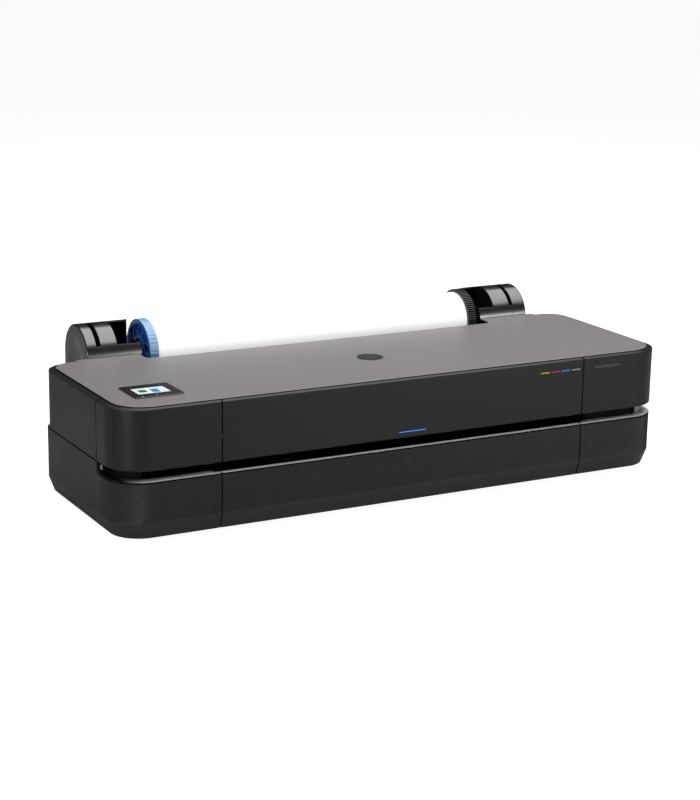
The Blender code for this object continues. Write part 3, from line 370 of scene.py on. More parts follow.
def make_materials():
    moulded("black_textured", (0.019, 0.019, 0.0195), 0.46, 1800.0, 0.03 * MM)
    # Smooth black for the bottom chamfer, a little lighter than the ribbed face: partly its smooth
    # finish, partly a painted reflection of the floor.
    moulded("black_smooth_painted_reflection", (0.034, 0.034, 0.035), 0.40, 1800.0, 0.02 * MM)
    moulded("black_satin", (0.0105, 0.0105, 0.011), 0.40, 2200.0, 0.02 * MM, specular=0.44)
    moulded("black_gloss", (0.008, 0.008, 0.0085), 0.24, 1500.0, 0.0015 * MM, specular=1.0,
            ior=1.75)
    # Near black with little gloss, for parts deep inside the machine; also used as painted shade in
    # the groove under the lip and on the left end wall of the paper slot.
    moulded("black_inner", (0.004, 0.004, 0.004), 0.60, 900.0, 0.03 * MM, specular=0.1)
    moulded("blue_plastic", (0.030, 0.165, 0.560), 0.24, 700.0, 0.01 * MM, 0.05, coat=0.3)
    # Painted highlight: the hub's rim gets a lighter blue than its face, standing in for the
    # highlights on the same blue plastic.
    moulded("blue_rim_painted_highlight", (0.300, 0.520, 0.800), 0.30, 700.0, 0.01 * MM, 0.05, coat=0.3)
    moulded("grey_rubber", (0.10, 0.10, 0.10), 0.78, 2600.0, 0.06 * MM, 0.12)
    moulded("black_rubber", (0.015, 0.015, 0.015), 0.80, 1600.0, 0.06 * MM, 0.15)
    moulded("ink_grey", (0.16, 0.16, 0.17), 0.40, 900.0, 0.02 * MM)
    moulded("mid_plastic", (0.055, 0.055, 0.060), 0.45, 1100.0, 0.03 * MM)
    # Painted highlight: lighter grey for the tooth tips and flange of the black sliding hub.
    moulded("hub_tips_painted_highlight", (0.130, 0.130, 0.134), 0.34, 1100.0, 0.01 * MM)
    moulded("emblem_grey", (0.012, 0.012, 0.012), 0.30, 1500.0, 0.01 * MM)
    for word, colour in MARK_COLOURS.items():
        moulded(f"mark_{word}", colour, 0.4, 900.0, 0.005 * MM, 0.04)
    metal("zinc_steel", (0.55, 0.56, 0.58), 0.34, (1, 1, 1), 260.0)
    metal("bright_steel", (0.72, 0.72, 0.73), 0.16, (0.02, 1, 1), 1500.0)
    grey_metallic("grey_panel")
    ledge_painted_highlight("slot_ledge_painted_highlight")
    # Painted highlight: light grey for black plastic at the slot's ends, standing in for its
    # reflections and glints.
    moulded("slot_end_painted_highlight", (0.36, 0.36, 0.36), 0.35, 900.0, 0.01 * MM)
    paper("white_paper")
    card("brown_card")
    circuit("circuit_board")
    glowing("display", (0.74, 0.80, 0.82), 0.35)
    glowing("tile_green", (0.012, 0.19, 0.085), 0.25)
    glowing("tile_blue", (0.05, 0.27, 0.50), 0.25)
    glowing("light_bar", (0.05, 0.20, 0.75), 0.9)


# ---- pieces


def islands(bm):
    """The separate closed surfaces of a mesh, as lists of faces."""
    left = set(bm.faces)
    while left:
        found, edge = [], [left.pop()]
        while edge:
            face = edge.pop()
            found.append(face)
            for near in (other for side in face.edges for other in side.link_faces):
                if near in left:
                    left.remove(near)
                    edge.append(near)
        yield found


def face_outwards(bm):
    """Turns every closed surface of a mesh so that its faces point out."""
    bmesh.ops.recalc_face_normals(bm, faces=bm.faces)
    for faces in islands(bm):
        volume = 0.0
        for face in faces:
            corners = [vert.co for vert in face.verts]
            for b, c in zip(corners[1:], corners[2:]):
                volume += corners[0].dot(b.cross(c))
        if volume < 0:
            bmesh.ops.reverse_faces(bm, faces=faces)
    bm.normal_update()


def new_piece(name, bm, body, slot, look=None, stands_for=(), sharp=32, accents=()):
    """Makes a finished mesh a piece: its look (the slot's material where no look is given), its
    shading and the body it rides on.

    Each accent is another look and the test that picks its faces.
    """
    face_outwards(bm)
    for index, (_, picks) in enumerate(accents, 1):
        for face in bm.faces:
            if picks(face):
                face.material_index = index
    mesh = bpy.data.meshes.new(name)
    bm.to_mesh(mesh)
    bm.free()
    mesh.shade_smooth()
    mesh.set_sharp_from_angle(angle=math.radians(sharp))
    mesh.materials.append(MATERIALS[look or slot])
    for other, _ in accents:
        mesh.materials.append(MATERIALS[other])
    obj = added(name, mesh)
    normals = obj.modifiers.new("normals", "WEIGHTED_NORMAL")
    normals.keep_sharp = True
    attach(obj, body)
    if stands_for:
        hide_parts(*stands_for)
    return obj


def finish_node(node, look):
    """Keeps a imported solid: its own look, its small edges rounded and its curves shaded smooth."""
    obj = NODES[node]
    mesh = obj.data
    mesh.materials.clear()
    mesh.materials.append(MATERIALS[look])
    mesh.polygons.foreach_set("use_smooth", [True] * len(mesh.polygons))
    if "custom_normal" in mesh.attributes:
        mesh.attributes.remove(mesh.attributes["custom_normal"])
    weld = obj.modifiers.new("weld", "WELD")
    weld.merge_threshold = MESH_TOUCH
    flat = obj.modifiers.new("flat", "DECIMATE")
    flat.decimate_type = "DISSOLVE"
    flat.angle_limit = math.radians(1)
    rounding = obj.modifiers.new("edge", "BEVEL")
    rounding.width = 0.4 * MM
    rounding.segments = 2
    rounding.limit_method = "ANGLE"
    rounding.angle_limit = math.radians(35)
    normals = obj.modifiers.new("normals", "WEIGHTED_NORMAL")
    normals.keep_sharp = True


def rounded(corners, steps=8):
    """Points of a closed outline from corners (a, b, radius), each round one as an arc."""
    points = []
    count = len(corners)
    for index, (a, b, radius) in enumerate(corners):
        corner = Vector((a, b))
        if radius == 0:
            points.append(corner)
            continue
        before = (Vector(corners[index - 1][:2]) - corner).normalized()
        after = (Vector(corners[(index + 1) % count][:2]) - corner).normalized()
        half_angle = before.angle(after) / 2
        reach = radius / math.tan(half_angle)
        centre = corner + (before + after).normalized() * radius / math.sin(half_angle)
        first = corner + before * reach - centre
        last = corner + after * reach - centre
        turn = first.angle_signed(last)
        for step in range(steps + 1):
            arm = first.copy()
            arm.rotate(Matrix.Rotation(-turn * step / steps, 2))
            points.append(centre + arm)
    return points


def outline_parts(rear):
    """The outline from above as (length, place) stretches, from the back's middle over the left."""
    back_x, front_x = HALF - REAR_CORNER, HALF - FRONT_CORNER

    def line(start, end):
        a, b = Vector(start), Vector(end)
        way = (b - a).normalized()
        inward = Vector((-way.y, way.x))
        return (b - a).length, lambda s: (a + way * s, inward)

    def arc(centre, radius, start):
        def place(s):
            angle = math.radians(start) + s / radius
            out = Vector((math.cos(angle), math.sin(angle)))
            return Vector(centre) + out * radius, -out

        return radius * math.pi / 2, place

    return (
        line((0, rear), (-back_x, rear)),
        arc((-back_x, rear - REAR_CORNER), REAR_CORNER, 90),
        line((-HALF, rear - REAR_CORNER), (-HALF, FRONT + FRONT_CORNER)),
        arc((-front_x, FRONT + FRONT_CORNER), FRONT_CORNER, 180),
        line((-front_x, FRONT), (front_x, FRONT)),
        arc((front_x, FRONT + FRONT_CORNER), FRONT_CORNER, 270),
        line((HALF, FRONT + FRONT_CORNER), (HALF, rear - REAR_CORNER)),
        arc((back_x, rear - REAR_CORNER), REAR_CORNER, 0),
        line((back_x, rear), (0, rear)),
    )


class Outline:
    """Places along the machine's outline by the distance walked."""

    def __init__(self, rear):
        self.parts = outline_parts(rear)
        self.length = sum(length for length, _ in self.parts)

    def place(self, s):
        for length, place in self.parts:
            if s <= length:
                return place(s)
            s -= length
        return self.parts[-1][1](self.parts[-1][0])


def loft(bm, rings):
    """Joins each ring of corners to the next with four-sided faces."""
    for near, far in zip(rings, rings[1:]):
        for index in range(len(near)):
            after = (index + 1) % len(near)
            bm.faces.new((near[index], near[after], far[after], far[index]))


def swept(outline, stations, section, fit):
    """A closed section carried along the outline.

    fit(row, column, station) gives the distance to walk, and a function that turns the spot
    reached into its inset, its extra inset at the sides and its height.
    """
    bm = bmesh.new()
    columns = []
    for column, station in enumerate(stations):
        ring = []
        for row in section:
            walk, inset_at = fit(row, column, station)
            spot, inward = outline.place(walk)
            inset, side, z = inset_at(spot)
            spot = spot + inward * inset
            spot.x *= (HALF - inset - side) / (HALF - inset)
            ring.append(bm.verts.new((spot.x, spot.y, z)))
        columns.append(ring)
    loft(bm, columns)
    return bm


def trim(bm, *planes):
    """Cuts away what lies beyond each plane (point, outward direction), and closes the cuts."""
    for point, outward in planes:
        everything = bm.verts[:] + bm.edges[:] + bm.faces[:]
        bmesh.ops.bisect_plane(
            bm, geom=everything, dist=TOUCH, plane_co=point, plane_no=outward, clear_outer=True
        )
    edges = [edge for edge in bm.edges if edge.is_boundary]
    bmesh.ops.holes_fill(bm, edges=edges, sides=0)
    return bm


def smoothstep(value, low, high):
    share = min(1.0, max(0.0, (value - low) / (high - low)))
    return share * share * (3 - 2 * share)


# ---- lower half


def lower_section():
    """The lower half's wall as (inset, z) points: chamfer, ribs, groove, lip, ledge, inside."""
    thick = WALL + 0.2 * MM
    corners = (
        (FRONT_CHAMFER, FLOOR, 1.0 * MM),
        (0.0, CHAMFER_TOP, 5.0 * MM),
        (0.0, GROOVE_LOW, 0.5 * MM),
        (GROOVE_DEPTH, GROOVE_LOW + 0.3 * MM, 0),
        (GROOVE_DEPTH, GROOVE_HIGH - 0.2 * MM, 0),
        (0.0, GROOVE_HIGH, 0.4 * MM),
        (0.0, LIP, 1.2 * MM),
        (LEDGE, LIP, 0.5 * MM),
        (LEDGE, LIP - WALL, 0),
        (thick, LIP - WALL - 0.8 * MM, 0),
        (thick, CHAMFER_TOP, 0),
        (FRONT_CHAMFER + thick, FLOOR, 0),
    )
    points = rounded(corners, 4)
    face = [point for point in points if point.x < TOUCH]
    bottom, top = RIB_LOW, RIB_HIGH
    rows = 7
    between = [Vector((0.0, bottom + (top - bottom) * step / rows)) for step in range(rows + 1)]
    start = max(index for index, point in enumerate(points) if point in face and point.y < bottom)
    return points[: start + 1] + between + points[start + 1 :]


def slot_end_rise(y):
    """How far the ledge has risen to the split between the halves, at the slot's round end."""
    radius = 8 * MM
    into = y - (SEAM_Y - radius)
    if into <= 0:
        return 0.0
    if into >= radius:
        return SPLIT - LIP
    return radius - math.sqrt(radius * radius - into * into)


def lower_fit(row, column, station):
    z = row.y
    shear = min(max(z, RIB_LOW), RIB_HIGH) - RIB_LOW
    on_face = row.x < TOUCH and RIB_LOW < z < RIB_HIGH
    rib = RIB_DEPTH * RIB_WAVE[column % len(RIB_WAVE)] if on_face else 0.0

    def inset_at(spot):
        ribbed = smoothstep(RIB_END_Y - spot.y, 0, 4 * MM)
        inset, height = row.x + rib * ribbed, z
        grooved = 0.0 < row.x <= GROOVE_DEPTH + TOUCH and GROOVE_LOW < z < GROOVE_HIGH
        if grooved and spot.y > SEAM_Y:
            inset = 0.0
        if row.x > 5 * MM and z > LIP - WALL - 0.5 * MM:
            deep = smoothstep(abs(spot.x), LEDGE_STEP_X - 1 * MM, LEDGE_STEP_X + 1 * MM)
            depth = MIDDLE_LEDGE + (LEDGE - MIDDLE_LEDGE) * deep
            inset = depth - (LEDGE - row.x)
        if z > LIP - 1.5 * MM:
            height = z + slot_end_rise(spot.y)
        return inset, 0.0, height

    return station + shear, inset_at


def plain_fit(row, column, station):
    return station, lambda spot: (row.x, 0.0, row.y)


def stations_between(start, end, pitch):
    count = int((end - start) / pitch)
    return [start + pitch * index for index in range(count + 1)]


def column_wall(outline, side):
    """The wall behind the slot round a front corner, standing on the ledge."""
    section = rounded(
        (
            (LEDGE - WALL, LIP + 0.2 * MM, 0),
            (LEDGE - WALL, SPLIT - 0.4 * MM, 0.4 * MM),
            (LEDGE, SPLIT - 0.4 * MM, 0),
            (LEDGE, LIP + 0.2 * MM, 0),
        ),
        3,
    )
    middle = outline.length / 2
    reach = sorted(middle + side * walk for walk in COLUMN_REACH)
    bm = swept(outline, stations_between(*reach, 2 * MM), section, plain_fit)
    return trim(
        bm,
        ((side * COLUMN_X, 0, 0), (-side, 0, 0)),
        ((0, SEAM_Y + WALL, 0), (0, 1, 0)),
    )


def joined(first, second):
    """Adds the faces of the second mesh to the first."""
    mesh = bpy.data.meshes.new("joined")
    second.to_mesh(mesh)
    second.free()
    first.from_mesh(mesh)
    bpy.data.meshes.remove(mesh)
    return first


def on_ledge(face):
    """Whether a face is part of the flat ledge in the paper slot."""
    middle = face.calc_center_median()
    return face.normal.z > 0.9 and LIP - 0.5 * MM < middle.z < LIP + 0.5 * MM


def in_groove(face):
    """Whether a face is inside the groove under the lip."""
    middle = face.calc_center_median()
    return GROOVE_LOW + 0.1 * MM < middle.z < GROOVE_HIGH and middle.y < SEAM_Y - 1 * MM


def on_chamfer(face):
    """Whether a face is part of the smooth sloping band round the bottom."""
    return face.normal.z < -0.15 and face.calc_center_median().z < CHAMFER_TOP + 2 * MM


# Looks for the lower half's faces: the slot's ledge near white as a painted highlight, the groove
# near black as painted shade, and the bottom chamfer a smooth black a little lighter than the ribbed
# face, partly its smooth finish and partly a painted reflection of the floor.
LOWER_ACCENTS = (
    ("slot_ledge_painted_highlight", on_ledge), ("black_inner", in_groove), ("black_smooth_painted_reflection", on_chamfer),
)


def make_lower_half():
    outline = Outline(LOWER_REAR)
    section = lower_section()
    middle = outline.length / 2
    step = RIB_PITCH / len(RIB_WAVE)
    margin = RIB_HIGH - RIB_LOW + 10 * MM
    near, far = SEAM_X - JOINT / 2, SEAM_X + JOINT / 2
    shells = (
        ("lower_left_shell", "lower_left_cover", LOWER_BACK, middle - SEAM_OUT + margin,
         [((-far, 0, 0), (1, 0, 0))]),
        ("lower_front_shell", "lower_front_panel", middle - SEAM_IN - margin,
         middle + SEAM_IN + margin, [((near, 0, 0), (1, 0, 0)), ((-near, 0, 0), (-1, 0, 0))]),
        ("lower_right_shell", "lower_right_cover", middle + SEAM_OUT - margin,
         outline.length - LOWER_BACK, [((far, 0, 0), (-1, 0, 0))]),
    )
    for name, node, start, end, planes in shells:
        bm = swept(outline, stations_between(start, end, step), section, lower_fit)
        new_piece(name, trim(bm, *planes), "base", "black_textured", stands_for=(node,),
                  accents=LOWER_ACCENTS)
    # Both slot end walls are black plastic: the left is near black as painted shade, the right light
    # grey as a painted reflection.
    for side, word, look in ((-1, "left", "black_inner"), (1, "right", "slot_end_painted_highlight")):
        new_piece(f"{word}_slot_wall", column_wall(outline, side), "base", "black_textured", look)


# ---- upper half


def upper_section():
    """The upper half's wall as (inset, z) points, with the rim and the ledge under the panel."""
    corners = (
        (0.0, UPPER, 2.2 * MM),
        (0.0, TOP - RIM_DROP, 1.4 * MM),
        (FRONT_RIM, RIM_INNER, 0.6 * MM),
        (FRONT_RIM, LEDGE_TOP, 0),
        (20 * MM, LEDGE_TOP, 0),
        (20 * MM, LEDGE_TOP - WALL, 0),
        (WALL, LEDGE_TOP - WALL, 0),
        (WALL, UPPER, 0.8 * MM),
    )
    return rounded(corners, 5)


def upper_fit(row, column, station):
    z = row.y
    slope = max(0.0, z - (TOP - RIM_DROP)) / (RIM_INNER - TOP + RIM_DROP)
    under = z <= LEDGE_TOP + TOUCH and row.x > WALL + TOUCH

    def inset_at(spot):
        inset, height = row.x, z
        side = (SIDE_RIM - FRONT_RIM) * (1.0 if under else min(1.0, slope))
        if row.x <= WALL + TOUCH and z < TOP - RIM_DROP:
            side = 0.0
        if spot.y > LOW_RIM_Y and z > LEDGE_TOP:
            height = min(z, LOW_RIM_TOP)
            inset = min(inset, FRONT_RIM - 1 * MM)
        return inset, side, height

    return station, inset_at


def corner_stations(outline, low, high):
    """Stations close together round the corners and wide apart along the straights."""
    found, walked = [], 0.0
    for index, (length, _) in enumerate(outline.parts):
        steps = 36 if index % 2 else max(2, int(length / (25 * MM)))
        for step in range(steps):
            found.append(walked + length * step / steps)
        walked += length
    found.append(walked)
    extra = [low, high]
    return sorted(s for s in found + extra if low <= s <= high)


def make_upper_half():
    outline = Outline(BODY_REAR)
    section = upper_section()
    middle = outline.length / 2

    def ring(low, high):
        return swept(outline, corner_stations(outline, low, high), section, upper_fit)

    near, far = SEAM_X - JOINT / 2, SEAM_X + JOINT / 2
    between_seams = ((near, 0, 0), (1, 0, 0)), ((-near, 0, 0), (-1, 0, 0))
    lid = trim(ring(middle - LID_REACH, middle + LID_REACH), *between_seams)
    new_piece("lid_fascia_shell", lid, "lid", "black_satin", stands_for=("lid_front_fascia",))
    for side, word in SIDES:
        low, high = sorted(middle + side * walk for walk in (UPPER_FRONT, middle - UPPER_BACK))
        inward = (-side, 0, 0)
        corner = trim(
            ring(low, high), ((side * far, 0, 0), inward), ((0, SEAM_Y - JOINT / 2, 0), (0, 1, 0))
        )
        name = f"{word}_corner_fascia"
        new_piece(f"{name}_shell", corner, "base", "black_satin", stands_for=(name,))
        back = (0, SEAM_Y + JOINT / 2, 0)
        flank = trim(ring(low, high), (back, (0, -1, 0)), ((side * EAR_X, 0, 0), inward))
        name = f"{word}_side_panel"
        new_piece(f"{name}_shell", flank, "base", "black_satin", stands_for=(name,))


def offset_loop(points, distance):
    """Each point of a closed outline moved inwards; the outline runs anticlockwise."""
    moved = []
    count = len(points)
    for index, point in enumerate(points):
        before = (point - points[index - 1]).normalized()
        after = (points[(index + 1) % count] - point).normalized()
        normal = Vector((-before.y - after.y, before.x + after.x)).normalized()
        lean = max(0.3, normal.dot(Vector((-before.y, before.x))))
        moved.append(point + normal * distance / lean)
    return moved


def rounded_slab(points, low, high, radius, steps=3):
    """A flat plate on an anticlockwise outline, with its top edge rounded over."""
    bm = bmesh.new()
    loops = [(0.0, low), (0.0, high - radius)]
    for step in range(1, steps + 1):
        angle = math.pi / 2 * step / steps
        loops.append((radius * (1 - math.cos(angle)), high - radius * (1 - math.sin(angle))))
    rings = []
    for inset, z in loops:
        ring = points if inset == 0 else offset_loop(points, inset)
        rings.append([bm.verts.new((a, b, z)) for a, b in ring])
    loft(bm, rings)
    bm.faces.new(rings[0][::-1])
    bm.faces.new(rings[-1])
    return bm


def rectangle(x, y, radius, steps=6):
    corners = [(a, b, radius) for a, b in ((x[0], y[0]), (x[1], y[0]), (x[1], y[1]), (x[0], y[1]))]
    return rounded(corners, steps)


def panel_outline():
    """The grey panel's outline, notched at the back for the roll."""
    side = HALF - SIDE_RIM - 1.5 * MM
    front = FRONT + FRONT_RIM + 1 * MM
    back = BODY_REAR - SIDE_RIM - 1 * MM
    ear = BODY_REAR - 1.5 * MM
    right = (
        (side, front, FRONT_CORNER - FRONT_RIM - 1 * MM),
        (side, back, REAR_CORNER - 9 * MM),
        (EAR_X, back, 1 * MM),
        (EAR_X, ear, 2 * MM),
        (SEAM_IN + 0.4 * MM, ear, 3 * MM),
        (SEAM_IN + 0.4 * MM, NOTCH_Y, 12 * MM),
    )
    left = tuple((-x, y, radius) for x, y, radius in reversed(right))
    return rounded(right + left, 20)


def moved(bm, place, turn):
    """Turns a mesh about the origin and then moves it."""
    bmesh.ops.transform(bm, matrix=Matrix.Translation(place) @ turn, verts=bm.verts)
    return bm


def peg(bm, middle, radii, depth, segments, turn=Matrix.Identity(4)):
    """Adds a round peg along Z, or along the turned Z, with its bottom and top radius."""
    bmesh.ops.create_cone(
        bm, cap_ends=True, segments=segments, radius1=radii[0], radius2=radii[1],
        depth=depth, matrix=Matrix.Translation(middle) @ turn,
    )


def cylinder_x(bm, x, y, z, radius, segments=32):
    """Adds a round bar along X."""
    turn = Matrix(((0, 0, 1), (0, 1, 0), (-1, 0, 0))).to_4x4()
    peg(bm, ((x[0] + x[1]) / 2, y, z), (radius, radius), abs(x[1] - x[0]), segments, turn)


def box(bm, x, y, z):
    """Adds a box between limits."""
    size = Matrix.Diagonal((x[1] - x[0], y[1] - y[0], z[1] - z[0], 1))
    middle = Matrix.Translation([(a + b) / 2 for a, b in (x, y, z)])
    bmesh.ops.create_cube(bm, size=1, matrix=middle @ size)


def add_hinge_knuckles(bm):
    """The lid's hinge eyes and pins under the back of the panel."""
    axis = 0.103, TOP - 6.5 * MM
    pin_x, pin_radius = (0.390, 0.410), 1.4 * MM
    eyes, eye_width, eye_radius = (0.388, 0.406), 6 * MM, 3 * MM
    web_inset, web_half = 1 * MM, 2.5 * MM
    web_y = axis[0] - web_half, axis[0] + web_half
    web_z = axis[1], PANEL_LOW + 0.2 * MM
    for side, _ in SIDES:
        for near in eyes:
            far = near + eye_width
            cylinder_x(bm, sorted((side * near, side * far)), *axis, eye_radius)
            web_x = sorted((side * (near + web_inset), side * (far - web_inset)))
            box(bm, web_x, web_y, web_z)
        cylinder_x(bm, sorted(side * x for x in pin_x), *axis, pin_radius, 20)


def make_top_panel():
    bm = rounded_slab(panel_outline(), PANEL_LOW, TOP, 0.8 * MM)
    add_hinge_knuckles(bm)
    new_piece("top_panel_shell", bm, "lid", "grey_panel", stands_for=("top_panel",),
              accents=(("black_inner", lambda face: face.normal.z < 0.25),))


# ---- controls and marks


def slab_piece(name, x, y, z, radius, edge, body, slot, look=None, stands_for=()):
    bm = rounded_slab(rectangle(x, y, radius), z[0], z[1], edge)
    return new_piece(name, bm, body, slot, look, stands_for)


def make_control_panel():
    """The bezel with its raised window frame, the lit screen with two tiles, and two marks."""
    low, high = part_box("control_panel_bezel")
    screen_low, screen_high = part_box("touch_display")
    gap, frame_width, frame_proud = 0.4 * MM, 1.6 * MM, 0.3 * MM
    window_x = (screen_low.x - gap, screen_high.x + gap)
    window_y = (screen_low.y - gap, screen_high.y + gap)
    outer = rectangle((low.x, high.x), (low.y, high.y), 4 * MM, 8)
    bm = rounded_slab(outer, low.z, high.z - frame_proud, 0.7 * MM)
    window = offset_loop(rectangle(window_x, window_y, 1.2 * MM), -frame_width)
    joined(bm, rounded_slab(window, high.z - 0.5 * MM, high.z, 0.4 * MM))
    new_piece("control_bezel", bm, "lid", "black_gloss", stands_for=("control_panel_bezel",))
    glass = (screen_low.x, screen_high.x), (screen_low.y, screen_high.y)
    z = screen_high.z
    slab_piece("display_glass", *glass, (z - 1 * MM, z), 0.8 * MM, 0.2 * MM, "lid", "display",
               stands_for=("touch_display",))
    for word, x, y in (("green", (6, 19), (8, 22)), ("blue", (26, 39), (3, 22))):
        span_x = [screen_low.x + value * MM for value in x]
        span_y = [screen_low.y + value * MM for value in y]
        tile_z = (z - 0.1 * MM, z + 0.15 * MM)
        slab_piece(f"display_tile_{word}", span_x, span_y, tile_z, 0.8 * MM, 0.1 * MM, "lid",
                   "display", f"tile_{word}")
    for name, x, look in (
        ("panel_mark_left", 14.5, "mark_white"), ("panel_mark_right", 37.5, "mark_pink"),
    ):
        bm = bmesh.new()
        middle = (low.x + x * MM, low.y + 6 * MM, high.z - 0.25 * MM)
        peg(bm, middle, (1.3 * MM, 1.1 * MM), 0.3 * MM, 20)
        new_piece(name, bm, "lid", "display", look)


def lathe(profile, segments, wave=None):
    """A closed profile of (x, radius) points turned round the roll's axis."""
    bm = bmesh.new()
    rings = []
    for index in range(segments):
        angle = 2 * math.pi * index / segments
        out = (math.cos(angle), math.sin(angle))
        ring = []
        for row, (x, radius) in enumerate(profile):
            reach = radius - (wave(index, row) if wave else 0.0)
            ring.append(bm.verts.new((x, ROLL_Y + reach * out[0], ROLL_Z + reach * out[1])))
        rings.append(ring)
    loft(bm, rings + rings[:1])
    return bm


def make_emblem():
    """A plain round badge with a raised ring, in the middle of the panel's front half."""
    centre = Vector((0.005, FRONT + 0.149, TOP))
    profile = ((22.5, 0.0), (22.3, 0.5), (21.6, 0.7), (20.6, 0.7), (20.2, 0.45))
    bm = bmesh.new()
    segments = 72
    rings = []
    for radius, height in profile:
        ring = []
        for index in range(segments):
            angle = 2 * math.pi * index / segments
            spot = Vector((math.cos(angle), math.sin(angle), 0)) * radius * MM
            ring.append(bm.verts.new(centre + spot + Vector((0, 0, height * MM))))
        rings.append(ring)
    loft(bm, rings)
    bm.faces.new(rings[-1])
    bm.faces.new(rings[0][::-1])
    new_piece("round_badge", bm, "lid", "black_gloss", "emblem_grey")


def front_bar(name, x, z, proud, body, slot, look=None, stands_for=()):
    """A thin bar with rounded ends on the front face."""
    end_radius = (z[1] - z[0]) * 0.45
    edge = min(proud, end_radius) * 0.8
    bm = rounded_slab(rectangle(x, z, end_radius), -1.0 * MM, proud, edge)
    return new_piece(name, moved(bm, (0, FRONT, 0), ON_FRONT), body, slot, look, stands_for)


def make_slot_details():
    """A small round post at each end of the paper slot, painted light grey as a painted glint, and
    two guide tabs under the fascia.
    """
    post_in, post_before_seam = 6.5 * MM, 5.5 * MM
    for (side, word), height in zip(SIDES, (7 * MM, UPPER - LIP - 1 * MM)):
        bm = bmesh.new()
        middle = (side * (HALF - post_in), SEAM_Y - post_before_seam, (LIP + UPPER) / 2)
        peg(bm, middle, (2.4 * MM, 2.0 * MM), height, 28)
        new_piece(f"{word}_slot_post", bm, "base", "black_gloss", "slot_end_painted_highlight")
    tab_z, tab_thick, tab_back = (UPPER - 2.4 * MM, UPPER + 4 * MM), 2 * MM, 9 * MM
    for name, body, x in (
        ("guide_tab_left", "base", (-0.363, -0.345)), ("guide_tab_right", "lid", (0.309, 0.320)),
    ):
        bm = rounded_slab(rectangle(x, tab_z, 0.8 * MM), 0, tab_thick, 0.5 * MM)
        moved(bm, (0, FRONT + tab_back, 0), ON_FRONT)
        new_piece(name, bm, body, "black_satin", "mid_plastic")


def make_front_marks():
    """The status light, four ink-colour marks and a blank name plate."""
    low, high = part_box("status_light_bar")
    front_bar("status_light", (low.x, high.x), (low.z, high.z), 0.25 * MM, "lid", "light_bar",
              stands_for=("status_light_bar",))
    marks_below, mark_half, plate_half = 20 * MM, 0.9 * MM, 2.2 * MM
    middle = TOP - marks_below
    z = (middle - mark_half, middle + mark_half)
    for word, left, right in (
        ("yellow", 0.248, 0.266), ("magenta", 0.2695, 0.287),
        ("cyan", 0.290, 0.307), ("light", 0.311, 0.328),
    ):
        front_bar(f"ink_mark_{word}", (left, right), z, 0.2 * MM, "lid", "display", f"mark_{word}")
    middle = TOP - 20.1 * MM
    z = (middle - plate_half, middle + plate_half)
    front_bar("blank_name_plate", (0.357, 0.411), z, 0.2 * MM, "base", "black_satin", "mid_plastic")


# ---- rear and base


def rear_slab(x, z, proud, radius):
    """A rounded plate standing out of the housing's rear wall."""
    bm = rounded_slab(rectangle((-x[1], -x[0]), z, radius), -0.5 * MM, proud, 0.35 * MM)
    return moved(bm, (0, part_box("roll_housing")[1].y, 0), ON_REAR)


def make_vent(word, left, right, low, count):
    """A grille of louvres in the rear wall."""
    pitch, louvre, rim = 4.2 * MM, 2.3 * MM, 2.4 * MM
    high = low + count * pitch
    bm = rear_slab((left, right), (low - 1 * MM, high - 0.6 * MM), 0.15 * MM, 2 * MM)
    for index in range(count):
        z = low + index * pitch
        joined(bm, rear_slab((left + rim, right - rim), (z, z + louvre), 1.1 * MM, 1.1 * MM))
    new_piece(f"rear_vent_{word}", bm, "base", "black_textured")


def make_rear_details():
    """Vents, a service cover, connector surrounds and the strip behind the base tray."""
    make_vent("left", -0.150, -0.060, FLOOR + 84 * MM, 11)
    make_vent("right", 0.190, 0.300, FLOOR + 22 * MM, 9)
    cover_z = (FLOOR + 22 * MM, FLOOR + 124 * MM)
    cover = rear_slab((-0.030, 0.160), cover_z, 0.7 * MM, 6 * MM)
    new_piece("rear_service_cover", cover, "base", "black_textured", "black_satin")
    room, lip_height = 2.2 * MM, 1.6 * MM
    for name in ("power_inlet", "port_plate"):
        low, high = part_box(name)
        x = (low.x - room, high.x + room)
        under, over = low.z - room - lip_height, high.z + room
        lips = [rear_slab(x, (z, z + lip_height), 0.9 * MM, 0.6 * MM) for z in (under, over)]
        new_piece(f"{name}_surround", joined(*lips), "base", "black_textured")
    end = SEAM_X - 3 * MM
    y = (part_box("base_tray")[1].y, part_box("roll_housing")[0].y - 0.3 * MM)
    strip = rectangle((-end, end), y, 1 * MM)
    bm = rounded_slab(strip, FLOOR + 0.6 * MM, FLOOR + 4 * MM, 0.4 * MM)
    new_piece("base_strip", bm, "base", "mid_plastic", "black_inner")


# ---- roll and hubs


def make_roll():
    """The wound paper with its outer end as a fine step, round the card core."""
    x0, x1 = ROLL_X
    bevel, layer, lead_end = 0.4 * MM, 0.35 * MM, math.radians(-75)
    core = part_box("roll_core")
    inner = (core[1].z - core[0].z) / 2 + 0.2 * MM
    profile = (
        (x0, inner), (x0, ROLL_RADIUS - bevel), (x0 + bevel, ROLL_RADIUS),
        (x1 - bevel, ROLL_RADIUS), (x1, ROLL_RADIUS - bevel), (x1, inner),
    )
    segments = 192

    def spiral(index, row):
        return layer * index / segments if 1 <= row <= 4 else 0.0

    bm = lathe(profile, segments, spiral)
    turn = Matrix.Rotation(lead_end, 3, "X")
    bmesh.ops.rotate(bm, cent=(0, ROLL_Y, ROLL_Z), matrix=turn, verts=bm.verts)
    new_piece("paper_roll_wound", bm, "spindle", "white_paper", stands_for=("paper_roll",),
              sharp=40)


